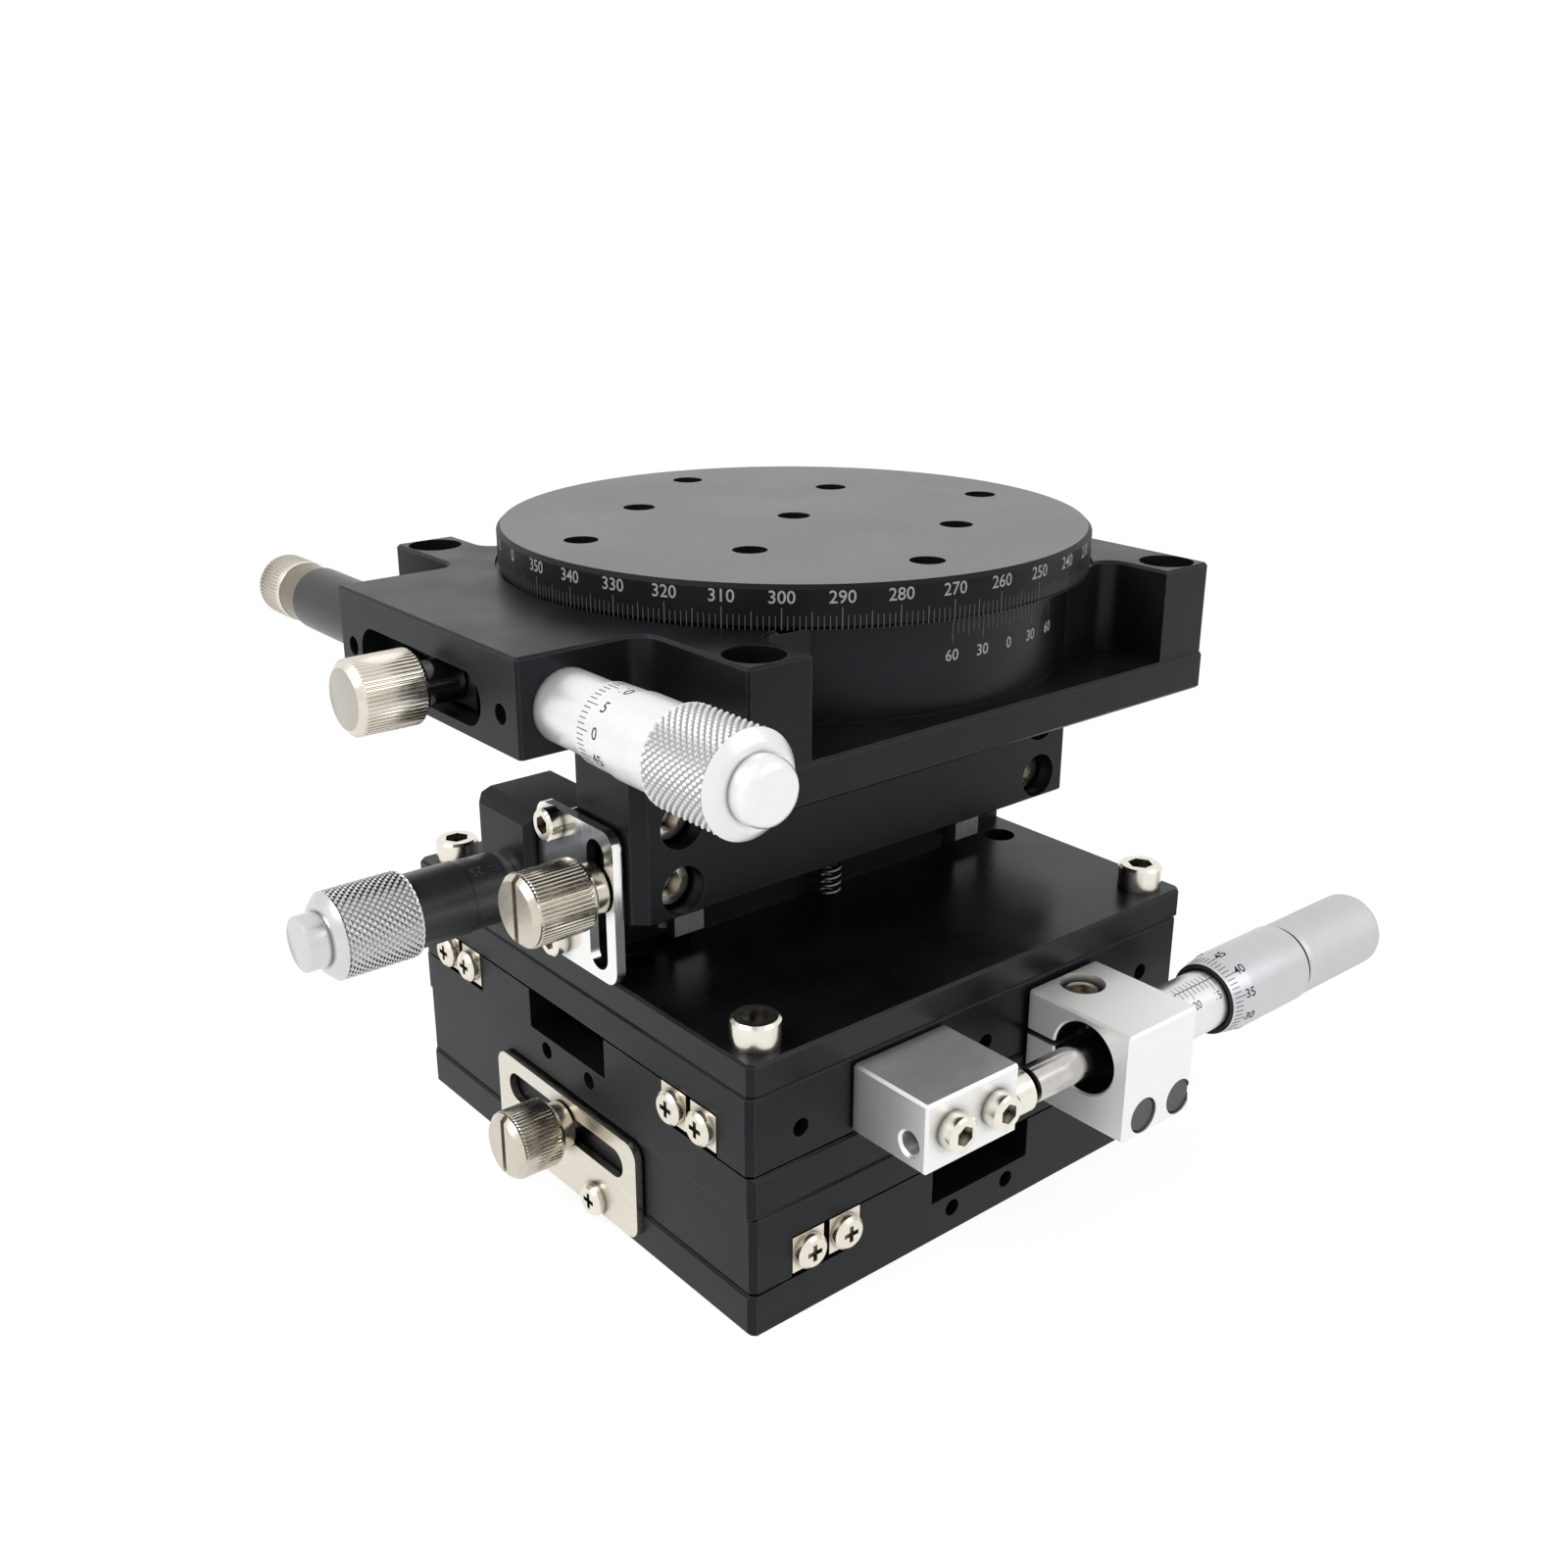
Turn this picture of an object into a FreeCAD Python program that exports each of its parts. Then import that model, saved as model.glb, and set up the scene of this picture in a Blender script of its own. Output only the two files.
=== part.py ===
import FreeCAD, Part
import math
import operator
import os
from types import SimpleNamespace

import Sketcher

# Five-axis micrometer stage: two crossed-roller slides (Y below, X above), a
# wedge-driven lift (Z) and a rotary table with coarse and fine turning.
# Millimetres. Origin at the centre of the bottom face, +Z up.

DIMENSIONS = {
    # Footprint and edges
    "side": 90.0,
    "edge_break": 0.4,
    "corner_break": 1.0,
    # Linear slide: base slab, running gap, legs and table slab, bottom to top
    "base_slab": 6.5,
    "slide_gap": 0.4,
    "leg_height": 6.6,
    "table_slab": 5.4,
    "leg_width": 6.9,
    "side_relief": 0.3,
    "roller_gap": 1.0,
    "channel_half": 10.4,
    "travel": 12.5,
    # Crossed-roller rails of the linear slides
    "rail_inset": 1.0,
    "rail_width": 5.8,
    "rail_height": 5.9,
    "rail_groove": 1.2,
    "rail_top_gap": 0.1,
    "cage_length": 58.0,
    "cage_thick": 0.5,
    "cage_height": 4.4,
    "roller_dia": 2.3,
    "roller_count": 6,
    "stop_thick": 1.2,
    # Fasteners
    "pan_head_dia": 5.2,
    "pan_head_height": 1.5,
    "pan_shank_dia": 2.4,
    "small_head_dia": 5.4,
    "small_head_height": 2.6,
    "small_shank_dia": 3.0,
    "cap_head_dia": 7.0,
    "cap_head_height": 4.0,
    "cap_shank_dia": 4.0,
    "screw_play": 0.1,
    "corner_inset": 5.0,
    "mount_hole_dia": 5.0,
    "base_hole_dia": 4.5,
    "side_hole_place": 36.0,
    "side_hole_level": 11.4,
    "end_hole_place": 5.9,
    "end_hole_level": 4.1,
    "end_hole_depth": 8.0,
    # Lock plate and thumb screw of a linear slide
    "lock_plate_half": 19.4,
    "lock_plate_bottom": 2.0,
    "lock_plate_height": 16.2,
    "lock_plate_thick": 1.2,
    "lock_plate_corner": 2.5,
    "lock_level": 13.2,
    "lock_slot_width": 4.8,
    "lock_slot_play": 1.6,
    "lock_screw_pitch": 17.0,
    "lock_screw_level": 4.2,
    "knob_dia": 10.5,
    "knob_length": 8.2,
    "knob_chamfer": 0.8,
    "knob_slot": 1.0,
    "collar_dia": 7.6,
    "collar_length": 2.2,
    "knob_shank_dia": 4.0,
    "knob_shank_length": 5.0,
    "knob_play": 0.3,
    # Micrometer bracket and stop block of a linear slide
    "bracket_width": 19.6,
    "bracket_length": 15.4,
    "bracket_top_wall": 6.9,
    "bracket_place": 8.6,
    "head_axis_out": 11.2,
    "head_axis_level": 10.7,
    "bracket_bore_dia": 10.0,
    "bracket_recess_dia": 11.0,
    "bracket_recess_depth": 10.6,
    "bracket_slit": 1.0,
    "bracket_screw_pitch": 8.2,
    "bracket_screw_level": 3.3,
    "bracket_screw_shift": 0.8,
    "bracket_screw_sink": 1.4,
    "clamp_screw_out": 4.0,
    "clamp_sink": 2.8,
    "clamp_recess_dia": 7.0,
    "block_width": 14.8,
    "block_length": 17.8,
    "block_height": 10.8,
    "block_level": 7.1,
    "block_place": -26.8,
    "block_screw_pitch": 8.5,
    "pin_hole_dia": 3.4,
    "pin_hole_depth": 4.0,
    "contact_dia": 6.6,
    "contact_length": 4.4,
    "contact_neck_dia": 4.4,
    "contact_neck_length": 0.6,
    # Large micrometer head, 25 mm travel
    "fit_clearance": 0.03,
    "running_clearance": 0.05,
    "spindle_dia": 5.6,
    "tip_flat": 0.6,
    "tip_crown": 0.5,
    "sleeve_dia": 9.6,
    "sleeve_reach": 38.0,
    "thimble_start": 14.0,
    "thimble_nose_dia": 11.5,
    "thimble_dia": 13.0,
    "thimble_bevel": 4.6,
    "thimble_length": 22.0,
    "thimble_bore_play": 0.2,
    "cap_dia": 12.5,
    "cap_length": 22.0,
    "cap_round": 2.0,
    "cap_wall": 4.0,
    "cap_groove": 0.8,
    # Small micrometer head, 13 mm travel
    "small_spindle_dia": 4.5,
    "small_stem_dia": 9.4,
    "small_sleeve_dia": 9.8,
    "small_sleeve_reach": 14.2,
    "small_nose_dia": 10.7,
    "small_thimble_dia": 11.3,
    "small_bevel": 3.6,
    "small_smooth_length": 14.8,
    "small_grip_dia": 13.1,
    "small_grip_length": 13.2,
    "small_grip_chamfer": 1.4,
    "small_end_dia": 8.2,
    "small_end_length": 3.2,
    "small_end_wall": 2.6,
    "small_end_round": 1.2,
    # Lift: base plate and fixed column
    "lift_plate": 5.0,
    "plate_hole_place": 38.5,
    "plate_hole_depth": 10.5,
    "plate_hole_dia": 5.4,
    "column_front": 4.8,
    "column_back": 2.8,
    "column_right_inset": 0.5,
    "column_height": 22.5,
    "lift_roller_gap": 0.8,
    "boss_depth": 3.0,
    # Lift: carriage
    "carriage_inset": 0.6,
    "carriage_front": 20.0,
    "carriage_rise": 10.2,
    "carriage_height": 23.9,
    "carriage_break": 1.8,
    "carriage_leg": 6.0,
    "carriage_gap": 0.4,
    "carriage_screw_inset": 7.6,
    "carriage_screw_low": 4.0,
    "carriage_screw_pitch": 10.0,
    "carriage_sink_dia": 7.4,
    "carriage_sink_depth": 7.2,
    # Lift: rails, spring and screws
    "lift_rail_width": 5.4,
    "lift_rail_depth": 6.4,
    "lift_rail_end": 2.2,
    "spring_dia": 3.9,
    "spring_wire": 0.7,
    "spring_place": -1.4,
    "spring_depth": 10.8,
    "spring_bore_dia": 4.8,
    "spring_bore_depth": 20.0,
    # Lift: micrometer block and lock plate
    "head_block_front": 3.3,
    "head_block_length": 12.7,
    "head_block_width": 14.4,
    "head_block_height": 21.7,
    "head_block_bevel": 2.2,
    "lift_head_level": 8.2,
    "lift_head_place": 10.0,
    "lift_thimble_start": 1.6,
    "lift_plate_near": -17.0,
    "lift_plate_far": 2.5,
    "lift_plate_bottom": 0.6,
    "lift_plate_height": 23.4,
    "lift_lock_thick": 1.5,
    "lift_lock_head_dia": 5.0,
    "lift_lock_head_height": 2.2,
    "lift_slot_place": -12.6,
    "lift_slot_low": 2.2,
    "lift_slot_length": 20.0,
    "lift_slot_width": 4.4,
    "lift_lock_screw_place": -2.4,
    "lift_lock_screw_low": 3.5,
    "lift_lock_screw_pitch": 18.2,
    "lift_knob_level": 14.9,
    "lift_lock_wall": 0.6,
    "lift_knob_length": 10.6,
    # Lift: wedge drive
    "guide_wall": 2.5,
    "guide_floor": 1.2,
    "guide_height": 12.2,
    "guide_left": 34.5,
    "guide_right": 14.0,
    "wedge_width": 8.4,
    "wedge_left": 26.0,
    "wedge_top": 15.7,
    "wedge_toe": 2.2,
    "wedge_ramp_start": 5.63,
    "wedge_float": 0.2,
    "lift_roller_dia": 8.0,
    "lift_roller_width": 3.6,
    "roller_pin_dia": 3.0,
    "roller_drop": 4.0,
    "follower_half": 6.0,
    "follower_width": 9.6,
    "fork_half": 3.0,
    "fork_height": 7.0,
    "fork_slot": 4.2,
    # Rotary: plates and housing
    "top_plate": 5.8,
    "housing_inset": 0.5,
    "housing_height": 13.8,
    "drum_inset": 2.5,
    "ear_width": 10.0,
    "ear_depth": 11.0,
    "ear_round": 3.0,
    "arm_block_out": 18.6,
    "arm_block_near": 23.3,
    "arm_block_far": 25.2,
    "arm_block_round": 3.0,
    "arm_block_rise": 0.6,
    "drum_wall": 4.1,
    "housing_floor": 2.0,
    "housing_centre_radius": 15.0,
    "cavity_wall": 2.8,
    "cavity_near": 16.3,
    "cavity_far": 15.0,
    "cavity_low": 1.7,
    "cavity_high": 10.7,
    "window_place": 2.3,
    "window_level": 5.7,
    "window_length": 33.0,
    "window_height": 7.4,
    "ear_sink_dia": 8.2,
    "ear_sink_depth": 9.0,
    "set_screw_dia": 2.8,
    "set_screw_place": 20.2,
    # Rotary: clamp ring, bearing and disc
    "ring_gap": 0.3,
    "ring_wall": 9.6,
    "ring_low": 2.3,
    "ring_height": 10.6,
    "lever_overhang": 15.0,
    "lever_near": 6.5,
    "lever_far": 3.5,
    "lever_low": 2.3,
    "lever_height": 7.9,
    "rotary_knob_place": -1.5,
    "rotary_knob_level": 5.8,
    "rotary_knob_overhang": 21.0,
    "rotary_knob_dia": 10.0,
    "rotary_knob_length": 10.1,
    "rotary_neck_dia": 6.0,
    "knob_socket": 2.6,
    "rotary_shank_dia": 4.0,
    "bearing_inner": 18.0,
    "bearing_height": 1.7,
    "hub_gap": 0.2,
    "hub_low": 3.9,
    "disc_thick": 6.0,
    "disc_gap": 0.4,
    "disc_recess_depth": 0.6,
    "disc_recess_play": 0.5,
    "disc_break": 0.6,
    "grid_pitch": 25.0,
    "grid_turn": 35.7,
    "tapped_depth": 5.4,
    # Rotary: micrometer and spring plunger
    "fine_axis_overhang": 11.6,
    "fine_axis_level": 6.5,
    "fine_thimble_start": 9.8,
    "contact_gap": 0.05,
    "plunger_dia": 9.8,
    "plunger_length": 25.3,
    "plunger_cap_dia": 9.4,
    "plunger_cap_length": 9.5,
    "plunger_pin_dia": 4.0,
    "plunger_pin_length": 40.0,
}


class Size:
    """A length that carries its expression in the sheet beside its number."""

    def __init__(self, text, value):
        self.text = text
        self.value = value

    def __add__(self, other):
        return joined(self, other, "+", operator.add)

    def __radd__(self, other):
        return joined(other, self, "+", operator.add)

    def __sub__(self, other):
        return joined(self, other, "-", operator.sub)

    def __rsub__(self, other):
        return joined(other, self, "-", operator.sub)

    def __mul__(self, other):
        return joined(self, other, "*", operator.mul)

    def __rmul__(self, other):
        return joined(other, self, "*", operator.mul)

    def __truediv__(self, other):
        return joined(self, other, "/", operator.truediv)

    def __neg__(self):
        return joined(0, self, "-", operator.sub)

    def __float__(self):
        return float(self.value)


def joined(left, right, sign, work):
    left_text = left.text if isinstance(left, Size) else repr(left)
    right_text = right.text if isinstance(right, Size) else repr(right)
    return Size(f"({left_text} {sign} {right_text})", work(float(left), float(right)))


doc = FreeCAD.newDocument("micrometer_stage")
sheet = doc.addObject("Spreadsheet::Sheet", "Sheet")
for row, (alias, number) in enumerate(DIMENSIONS.items(), start=1):
    sheet.set(f"A{row}", alias)
    sheet.set(f"B{row}", str(number))
    sheet.setAlias(f"B{row}", alias)
doc.recompute()
s = SimpleNamespace(**{alias: Size(f"Sheet.{alias}", float(sheet.get(alias))) for alias in DIMENSIONS})

half = s.side / 2
table_level = s.base_slab + s.slide_gap
table_underside = table_level + s.leg_height
slide_height = table_underside + s.table_slab
ridge_top = table_underside - s.slide_gap
table_half = half - s.side_relief
leg_inner = table_half - s.leg_width
ridge_half = leg_inner - 2 * s.rail_width - s.roller_gap
rail_length = s.side - 2 * s.rail_inset
rail_level = table_underside - s.rail_top_gap - s.rail_height
corner_place = half - s.corner_inset
bracket_height = s.head_axis_level + s.bracket_top_wall
lift_base = 2 * slide_height
lift_level = lift_base + s.lift_plate
carriage_level = lift_level + s.carriage_rise
top_level = carriage_level + s.carriage_height
carriage_half = half - s.carriage_inset
carriage_screw_place = carriage_half - s.carriage_screw_inset
lift_lock_depth = s.carriage_screw_inset - s.carriage_sink_dia / 2 - s.lift_lock_wall
boss_half = carriage_half - s.carriage_leg - 2 * s.lift_rail_width - s.lift_roller_gap
column_right = carriage_half - s.column_right_inset
rail_pocket = s.column_front + s.lift_rail_depth + s.carriage_gap
housing_level = top_level + s.top_plate
housing_half = half - s.housing_inset
ear_inner = housing_half - s.ear_width
drum_radius = housing_half - s.drum_inset
bore_radius = drum_radius - s.drum_wall
ring_outer = bore_radius - s.ring_gap
ring_inner = ring_outer - s.ring_wall
lever_out = half + s.lever_overhang
fine_axis_out = half + s.fine_axis_overhang
housing_top = housing_level + s.housing_height
disc_level = housing_top - s.disc_recess_depth + s.disc_gap

SHAFT = FreeCAD.Rotation(FreeCAD.Vector(0, 0, 1), 0)
UP = FreeCAD.Vector(0, 0, 1)
ALONG_X = FreeCAD.Rotation(FreeCAD.Vector(0, 1, 0), 90)
AGAINST_X = FreeCAD.Rotation(FreeCAD.Vector(0, 1, 0), -90)
ALONG_Y = FreeCAD.Rotation(FreeCAD.Vector(1, 0, 0), -90)
AGAINST_Y = FreeCAD.Rotation(FreeCAD.Vector(1, 0, 0), 90)
finished = []


def at(x, y, z=0):
    return FreeCAD.Vector(float(x), float(y), float(z))


def placed(x, y, z, rotation=SHAFT):
    return FreeCAD.Placement(at(x, y, z), rotation)


def new_body(name):
    body = doc.addObject("PartDesign::Body", name)
    body.Label = name
    finished.append(body)
    return body


def new_sketch(body, role, offset=0):
    sketch = body.newObject("Sketcher::SketchObject", body.Name + "_sketch")
    plane = [item for item in body.Origin.OriginFeatures if item.Role == role][0]
    sketch.AttachmentSupport = [(plane, "")]
    sketch.MapMode = "FlatFace"
    if isinstance(offset, Size):
        sketch.setExpression("AttachmentOffset.Base.z", offset.text)
    return sketch


def hold(sketch, kind, geometry, point, measure):
    index = sketch.addConstraint(Sketcher.Constraint(kind, -1, 1, geometry, point, float(measure)))
    if isinstance(measure, Size):
        sketch.setExpression(f"Constraints[{index}]", measure.text)


def hold_radius(sketch, geometry, radius):
    index = sketch.addConstraint(Sketcher.Constraint("Radius", geometry, float(radius)))
    if isinstance(radius, Size):
        sketch.setExpression(f"Constraints[{index}]", radius.text)


def draw_outline(sketch, points):
    """A closed outline of straight lines, each corner held from the sketch's origin."""
    first = sketch.GeometryCount
    count = len(points)
    for index in range(count):
        start = at(*points[index])
        end = at(*points[(index + 1) % count])
        sketch.addGeometry(Part.LineSegment(start, end), False)
    for index in range(count):
        following = first + (index + 1) % count
        sketch.addConstraint(Sketcher.Constraint("Coincident", first + index, 2, following, 1))
    for index, (x, y) in enumerate(points):
        hold(sketch, "DistanceX", first + index, 1, x)
        hold(sketch, "DistanceY", first + index, 1, y)


def draw_box(sketch, left, bottom, right, top):
    draw_outline(sketch, [(left, bottom), (right, bottom), (right, top), (left, top)])


def draw_circle(sketch, x, y, diameter):
    geometry = sketch.addGeometry(Part.Circle(at(x, y), UP, float(diameter) / 2), False)
    hold(sketch, "DistanceX", geometry, 3, x)
    hold(sketch, "DistanceY", geometry, 3, y)
    hold_radius(sketch, geometry, diameter / 2)


def draw_slot(sketch, x, y, length, width, upright=False):
    """A slot with round ends about (x, y); length is from end to end."""
    reach = (length - width) / 2
    radius = float(width) / 2
    ends = [(x, y - reach), (x, y + reach)] if upright else [(x - reach, y), (x + reach, y)]
    turn = -90 if upright else 180
    arcs = []
    for number, (end_x, end_y) in enumerate(ends):
        middle = math.radians(turn + 180 * number)
        circle = Part.Circle(at(end_x, end_y), UP, radius)
        arc = Part.ArcOfCircle(circle, middle - math.pi / 2, middle + math.pi / 2)
        arcs.append(sketch.addGeometry(arc, False))
    corners = [sketch.getPoint(arc, point) for arc in arcs for point in (1, 2)]
    first_line = sketch.addGeometry(Part.LineSegment(corners[1], corners[2]), False)
    second_line = sketch.addGeometry(Part.LineSegment(corners[3], corners[0]), False)
    for arc, arc_end, line, line_end in (
        (arcs[0], 2, first_line, 1),
        (arcs[1], 1, first_line, 2),
        (arcs[1], 2, second_line, 1),
        (arcs[0], 1, second_line, 2),
    ):
        sketch.addConstraint(Sketcher.Constraint("Tangent", arc, arc_end, line, line_end))
    for arc, (end_x, end_y) in zip(arcs, ends):
        hold(sketch, "DistanceX", arc, 3, end_x)
        hold(sketch, "DistanceY", arc, 3, end_y)
    hold_radius(sketch, arcs[0], width / 2)


def bind(feature, name, measure):
    if isinstance(measure, Size):
        feature.setExpression(name, measure.text)
    else:
        setattr(feature, name, measure)


def pad(body, sketch, length, both_ways=False, reverse=False):
    feature = body.newObject("PartDesign::Pad", body.Name + "_pad")
    feature.Profile = sketch
    feature.SideType = "Symmetric" if both_ways else "One side"
    feature.Reversed = reverse
    bind(feature, "Length", length)
    sketch.Visibility = False
    doc.recompute()
    return feature


def cut(body, sketch, depth=None, reverse=False, both_ways=False):
    """Cut against the sketch's normal, or along it when reversed; through all when no depth is given."""
    before = body.Shape.Volume
    feature = body.newObject("PartDesign::Pocket", body.Name + "_pocket")
    feature.Profile = sketch
    feature.SideType = "Symmetric" if both_ways else "One side"
    feature.Reversed = reverse
    if depth is None:
        feature.Type = "ThroughAll"
    else:
        bind(feature, "Length", depth)
    doc.recompute()
    if not body.Shape.Volume < before - 1e-6:
        raise RuntimeError(f"{body.Label}: a pocket removed nothing")
    return feature


def turn_profile(body, points):
    """Revolve (radius, height) points about the body's Z axis."""
    sketch = new_sketch(body, "XZ_Plane")
    draw_outline(sketch, points)
    feature = body.newObject("PartDesign::Revolution", body.Name + "_revolution")
    feature.Profile = sketch
    feature.ReferenceAxis = (sketch, ["V_Axis"])
    feature.Angle = 360
    doc.recompute()
    return feature


def break_edges(body, wanted, width, kind="Chamfer"):
    """Chamfer or fillet the edges of the body's tip that the test picks out."""
    tip = body.Tip
    names = [f"Edge{number}" for number, edge in enumerate(tip.Shape.Edges, start=1) if wanted(edge)]
    if not names:
        raise RuntimeError(f"{body.Label}: no edge to break")
    feature = body.newObject(f"PartDesign::{kind}", f"{body.Name}_{kind.lower()}")
    feature.Base = (tip, names)
    bind(feature, "Radius" if kind == "Fillet" else "Size", width)
    doc.recompute()


def runs_along(edge, axis):
    """True for a straight edge along the axis numbered 0, 1 or 2."""
    if edge.Curve.TypeId != "Part::GeomLine":
        return False
    span = edge.Vertexes[1].Point - edge.Vertexes[0].Point
    return abs(abs(span[axis]) - span.Length) < 1e-6


def outer_corner(edge, half_x, half_y):
    """True for an upright edge at a corner of the rectangle."""
    middle = edge.CenterOfMass
    at_x = abs(abs(middle.x) - float(half_x)) < 1e-3
    at_y = abs(abs(middle.y) - float(half_y)) < 1e-3
    return runs_along(edge, 2) and at_x and at_y


def level_edge(edge, height):
    """True for an edge that lies wholly at one height."""
    return all(abs(vertex.Z - float(height)) < 1e-3 for vertex in edge.Vertexes)


def new_group(name, solids, placement=None):
    """Several loose solids that share one node."""
    feature = doc.addObject("Part::Feature", name)
    feature.Label = name
    feature.Shape = Part.makeCompound(solids)
    if placement is not None:
        feature.Placement = placement
    finished.append(feature)
    return feature


def box_between(low, high):
    return Part.makeBox(*(high - low), low)


def pan_screw(origin, direction, length):
    """Cross-recess pan-head screw; the head's seat is at origin, the head along direction."""
    head_radius = float(s.pan_head_dia) / 2
    head = Part.makeCylinder(head_radius, float(s.pan_head_height))
    rim = [edge for edge in head.Edges if level_edge(edge, s.pan_head_height)]
    head = head.makeChamfer(head_radius * 0.18, rim)
    shank = Part.makeCylinder(float(s.pan_shank_dia) / 2, float(length), at(0, 0, -length))
    arm = head_radius * 0.5
    blade = head_radius * 0.14
    deep = float(s.pan_head_height) * 0.5
    low = float(s.pan_head_height) - deep
    top = float(s.pan_head_height)
    cross = box_between(at(-arm, -blade, low), at(arm, blade, top)).fuse(
        box_between(at(-blade, -arm, low), at(blade, arm, top))
    )
    return oriented(head.fuse(shank).cut(cross), origin, direction)


def socket_screw(origin, direction, length, head_dia, head_height, shank_dia):
    """Hexagon-socket cap screw; the head's seat is at origin, the head along direction."""
    head_radius = float(head_dia) / 2
    head = Part.makeCylinder(head_radius, float(head_height))
    rim = [edge for edge in head.Edges if level_edge(edge, head_height)]
    head = head.makeChamfer(head_radius * 0.12, rim)
    shank = Part.makeCylinder(float(shank_dia) / 2, float(length), at(0, 0, -length))
    key = head_radius * 0.58
    corners = [
        at(key * math.cos(math.radians(60 * turn)), key * math.sin(math.radians(60 * turn)), head_height * 0.4)
        for turn in range(7)
    ]
    recess = Part.Face(Part.makePolygon(corners)).extrude(at(0, 0, head_height))
    return oriented(head.fuse(shank).cut(recess), origin, direction)


def oriented(shape, origin, direction):
    shape.Placement = FreeCAD.Placement(origin, FreeCAD.Rotation(UP, direction))
    return shape


def grooved_rail(width, height, length, groove):
    """A bar along Y whose +X side has the V groove that the rollers run in."""
    wide = float(width)
    tall = float(height)
    deep = float(groove)
    middle = tall / 2
    corners = [
        at(0, 0, 0),
        at(wide, 0, 0),
        at(wide, 0, middle - deep),
        at(wide - deep, 0, middle),
        at(wide, 0, middle + deep),
        at(wide, 0, tall),
        at(0, 0, tall),
    ]
    profile = Part.Face(Part.makePolygon(corners + corners[:1]))
    rail = profile.extrude(at(0, length, 0))
    rail.translate(at(0, -length / 2, 0))
    return rail


def micrometer_sleeve(name, stem_dia, stem_length, sleeve_dia, reach, bore_dia, placement):
    """Fixed sleeve along +Z; its seat in the clamp is at height zero."""
    body = new_body(name)
    bore = bore_dia / 2 + s.running_clearance
    turn_profile(body, [
        (bore, -stem_length),
        (stem_dia / 2, -stem_length),
        (stem_dia / 2, 0),
        (sleeve_dia / 2, 0),
        (sleeve_dia / 2, reach),
        (bore, reach),
    ])
    body.Placement = placement


def micrometer_spindle(name, diameter, low, high, placement):
    """Spindle along +Z whose crowned tip is at its low end."""
    body = new_body(name)
    radius = diameter / 2
    turn_profile(body, [
        (0, low),
        (s.tip_flat, low),
        (radius, low + s.tip_crown),
        (radius, high),
        (0, high),
    ])
    body.Placement = placement


def large_thimble(name, placement):
    """Bevelled thimble with a plain cap; the bevel's edge is at its start height."""
    body = new_body(name)
    inner = s.sleeve_dia / 2 + s.thimble_bore_play
    start = s.thimble_start
    bevel_end = start + s.thimble_bevel
    cap_start = start + s.thimble_length
    cap_end = cap_start + s.cap_length
    wide = s.thimble_dia / 2
    cap = s.cap_dia / 2
    groove = cap - s.cap_groove
    turn_profile(body, [
        (0, cap_end - s.cap_wall),
        (inner, cap_end - s.cap_wall),
        (inner, start),
        (s.thimble_nose_dia / 2, start),
        (wide, bevel_end),
        (wide, cap_start - s.edge_break),
        (wide - s.edge_break, cap_start),
        (groove, cap_start),
        (groove, cap_start + s.cap_groove),
        (cap, cap_start + s.cap_groove + s.edge_break),
        (cap, cap_end),
        (0, cap_end),
    ])
    rounded = lambda edge: level_edge(edge, cap_end) and edge.Length > 1
    break_edges(body, rounded, s.cap_round, "Fillet")
    body.Placement = placement


def small_thimble(name, start, placement):
    """Thimble with a wide knurled grip and a small end button."""
    body = new_body(name)
    inner = s.small_sleeve_dia / 2 + s.thimble_bore_play
    grip_start = start + s.small_smooth_length
    grip_end = grip_start + s.small_grip_length
    end = grip_end + s.small_end_length
    wide = s.small_thimble_dia / 2
    grip = s.small_grip_dia / 2
    button = s.small_end_dia / 2
    turn_profile(body, [
        (0, grip_end - s.small_end_wall),
        (inner, grip_end - s.small_end_wall),
        (inner, start),
        (s.small_nose_dia / 2, start),
        (wide, start + s.small_bevel),
        (wide, grip_start),
        (grip - s.edge_break, grip_start),
        (grip, grip_start + s.edge_break),
        (grip, grip_end - s.small_grip_chamfer),
        (grip - s.small_grip_chamfer, grip_end),
        (button, grip_end),
        (button, end),
        (0, end),
    ])
    break_edges(body, lambda edge: level_edge(edge, end) and edge.Length > 1, s.small_end_round, "Fillet")
    body.Placement = placement


def thumb_screw(name, diameter, length, neck_dia, neck_length, shank_dia, shank_length, placement, slotted=True):
    """Knurled screw along +Z: shank below zero, collar above it, then the head."""
    body = new_body(name)
    shank = shank_dia / 2
    collar = neck_dia / 2
    head = diameter / 2
    top = neck_length + length
    turn_profile(body, [
        (0, -shank_length),
        (shank, -shank_length),
        (shank, 0),
        (collar, 0),
        (collar, neck_length),
        (head - s.knob_chamfer, neck_length),
        (head, neck_length + s.knob_chamfer),
        (head, top - s.knob_chamfer),
        (head - s.knob_chamfer, top),
        (0, top),
    ])
    if slotted:
        sketch = new_sketch(body, "XY_Plane", top)
        draw_box(sketch, -head, -s.knob_slot / 2, head, s.knob_slot / 2)
        cut(body, sketch, s.knob_slot)
    else:
        sketch = new_sketch(body, "XY_Plane", top)
        key = s.knob_socket / 2
        corners = [(math.cos(math.radians(60 * turn)), math.sin(math.radians(60 * turn))) for turn in range(6)]
        draw_outline(sketch, [(key * round(x, 6), key * round(y, 6)) for x, y in corners])
        cut(body, sketch, s.knob_socket)
    body.Placement = placement


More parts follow.
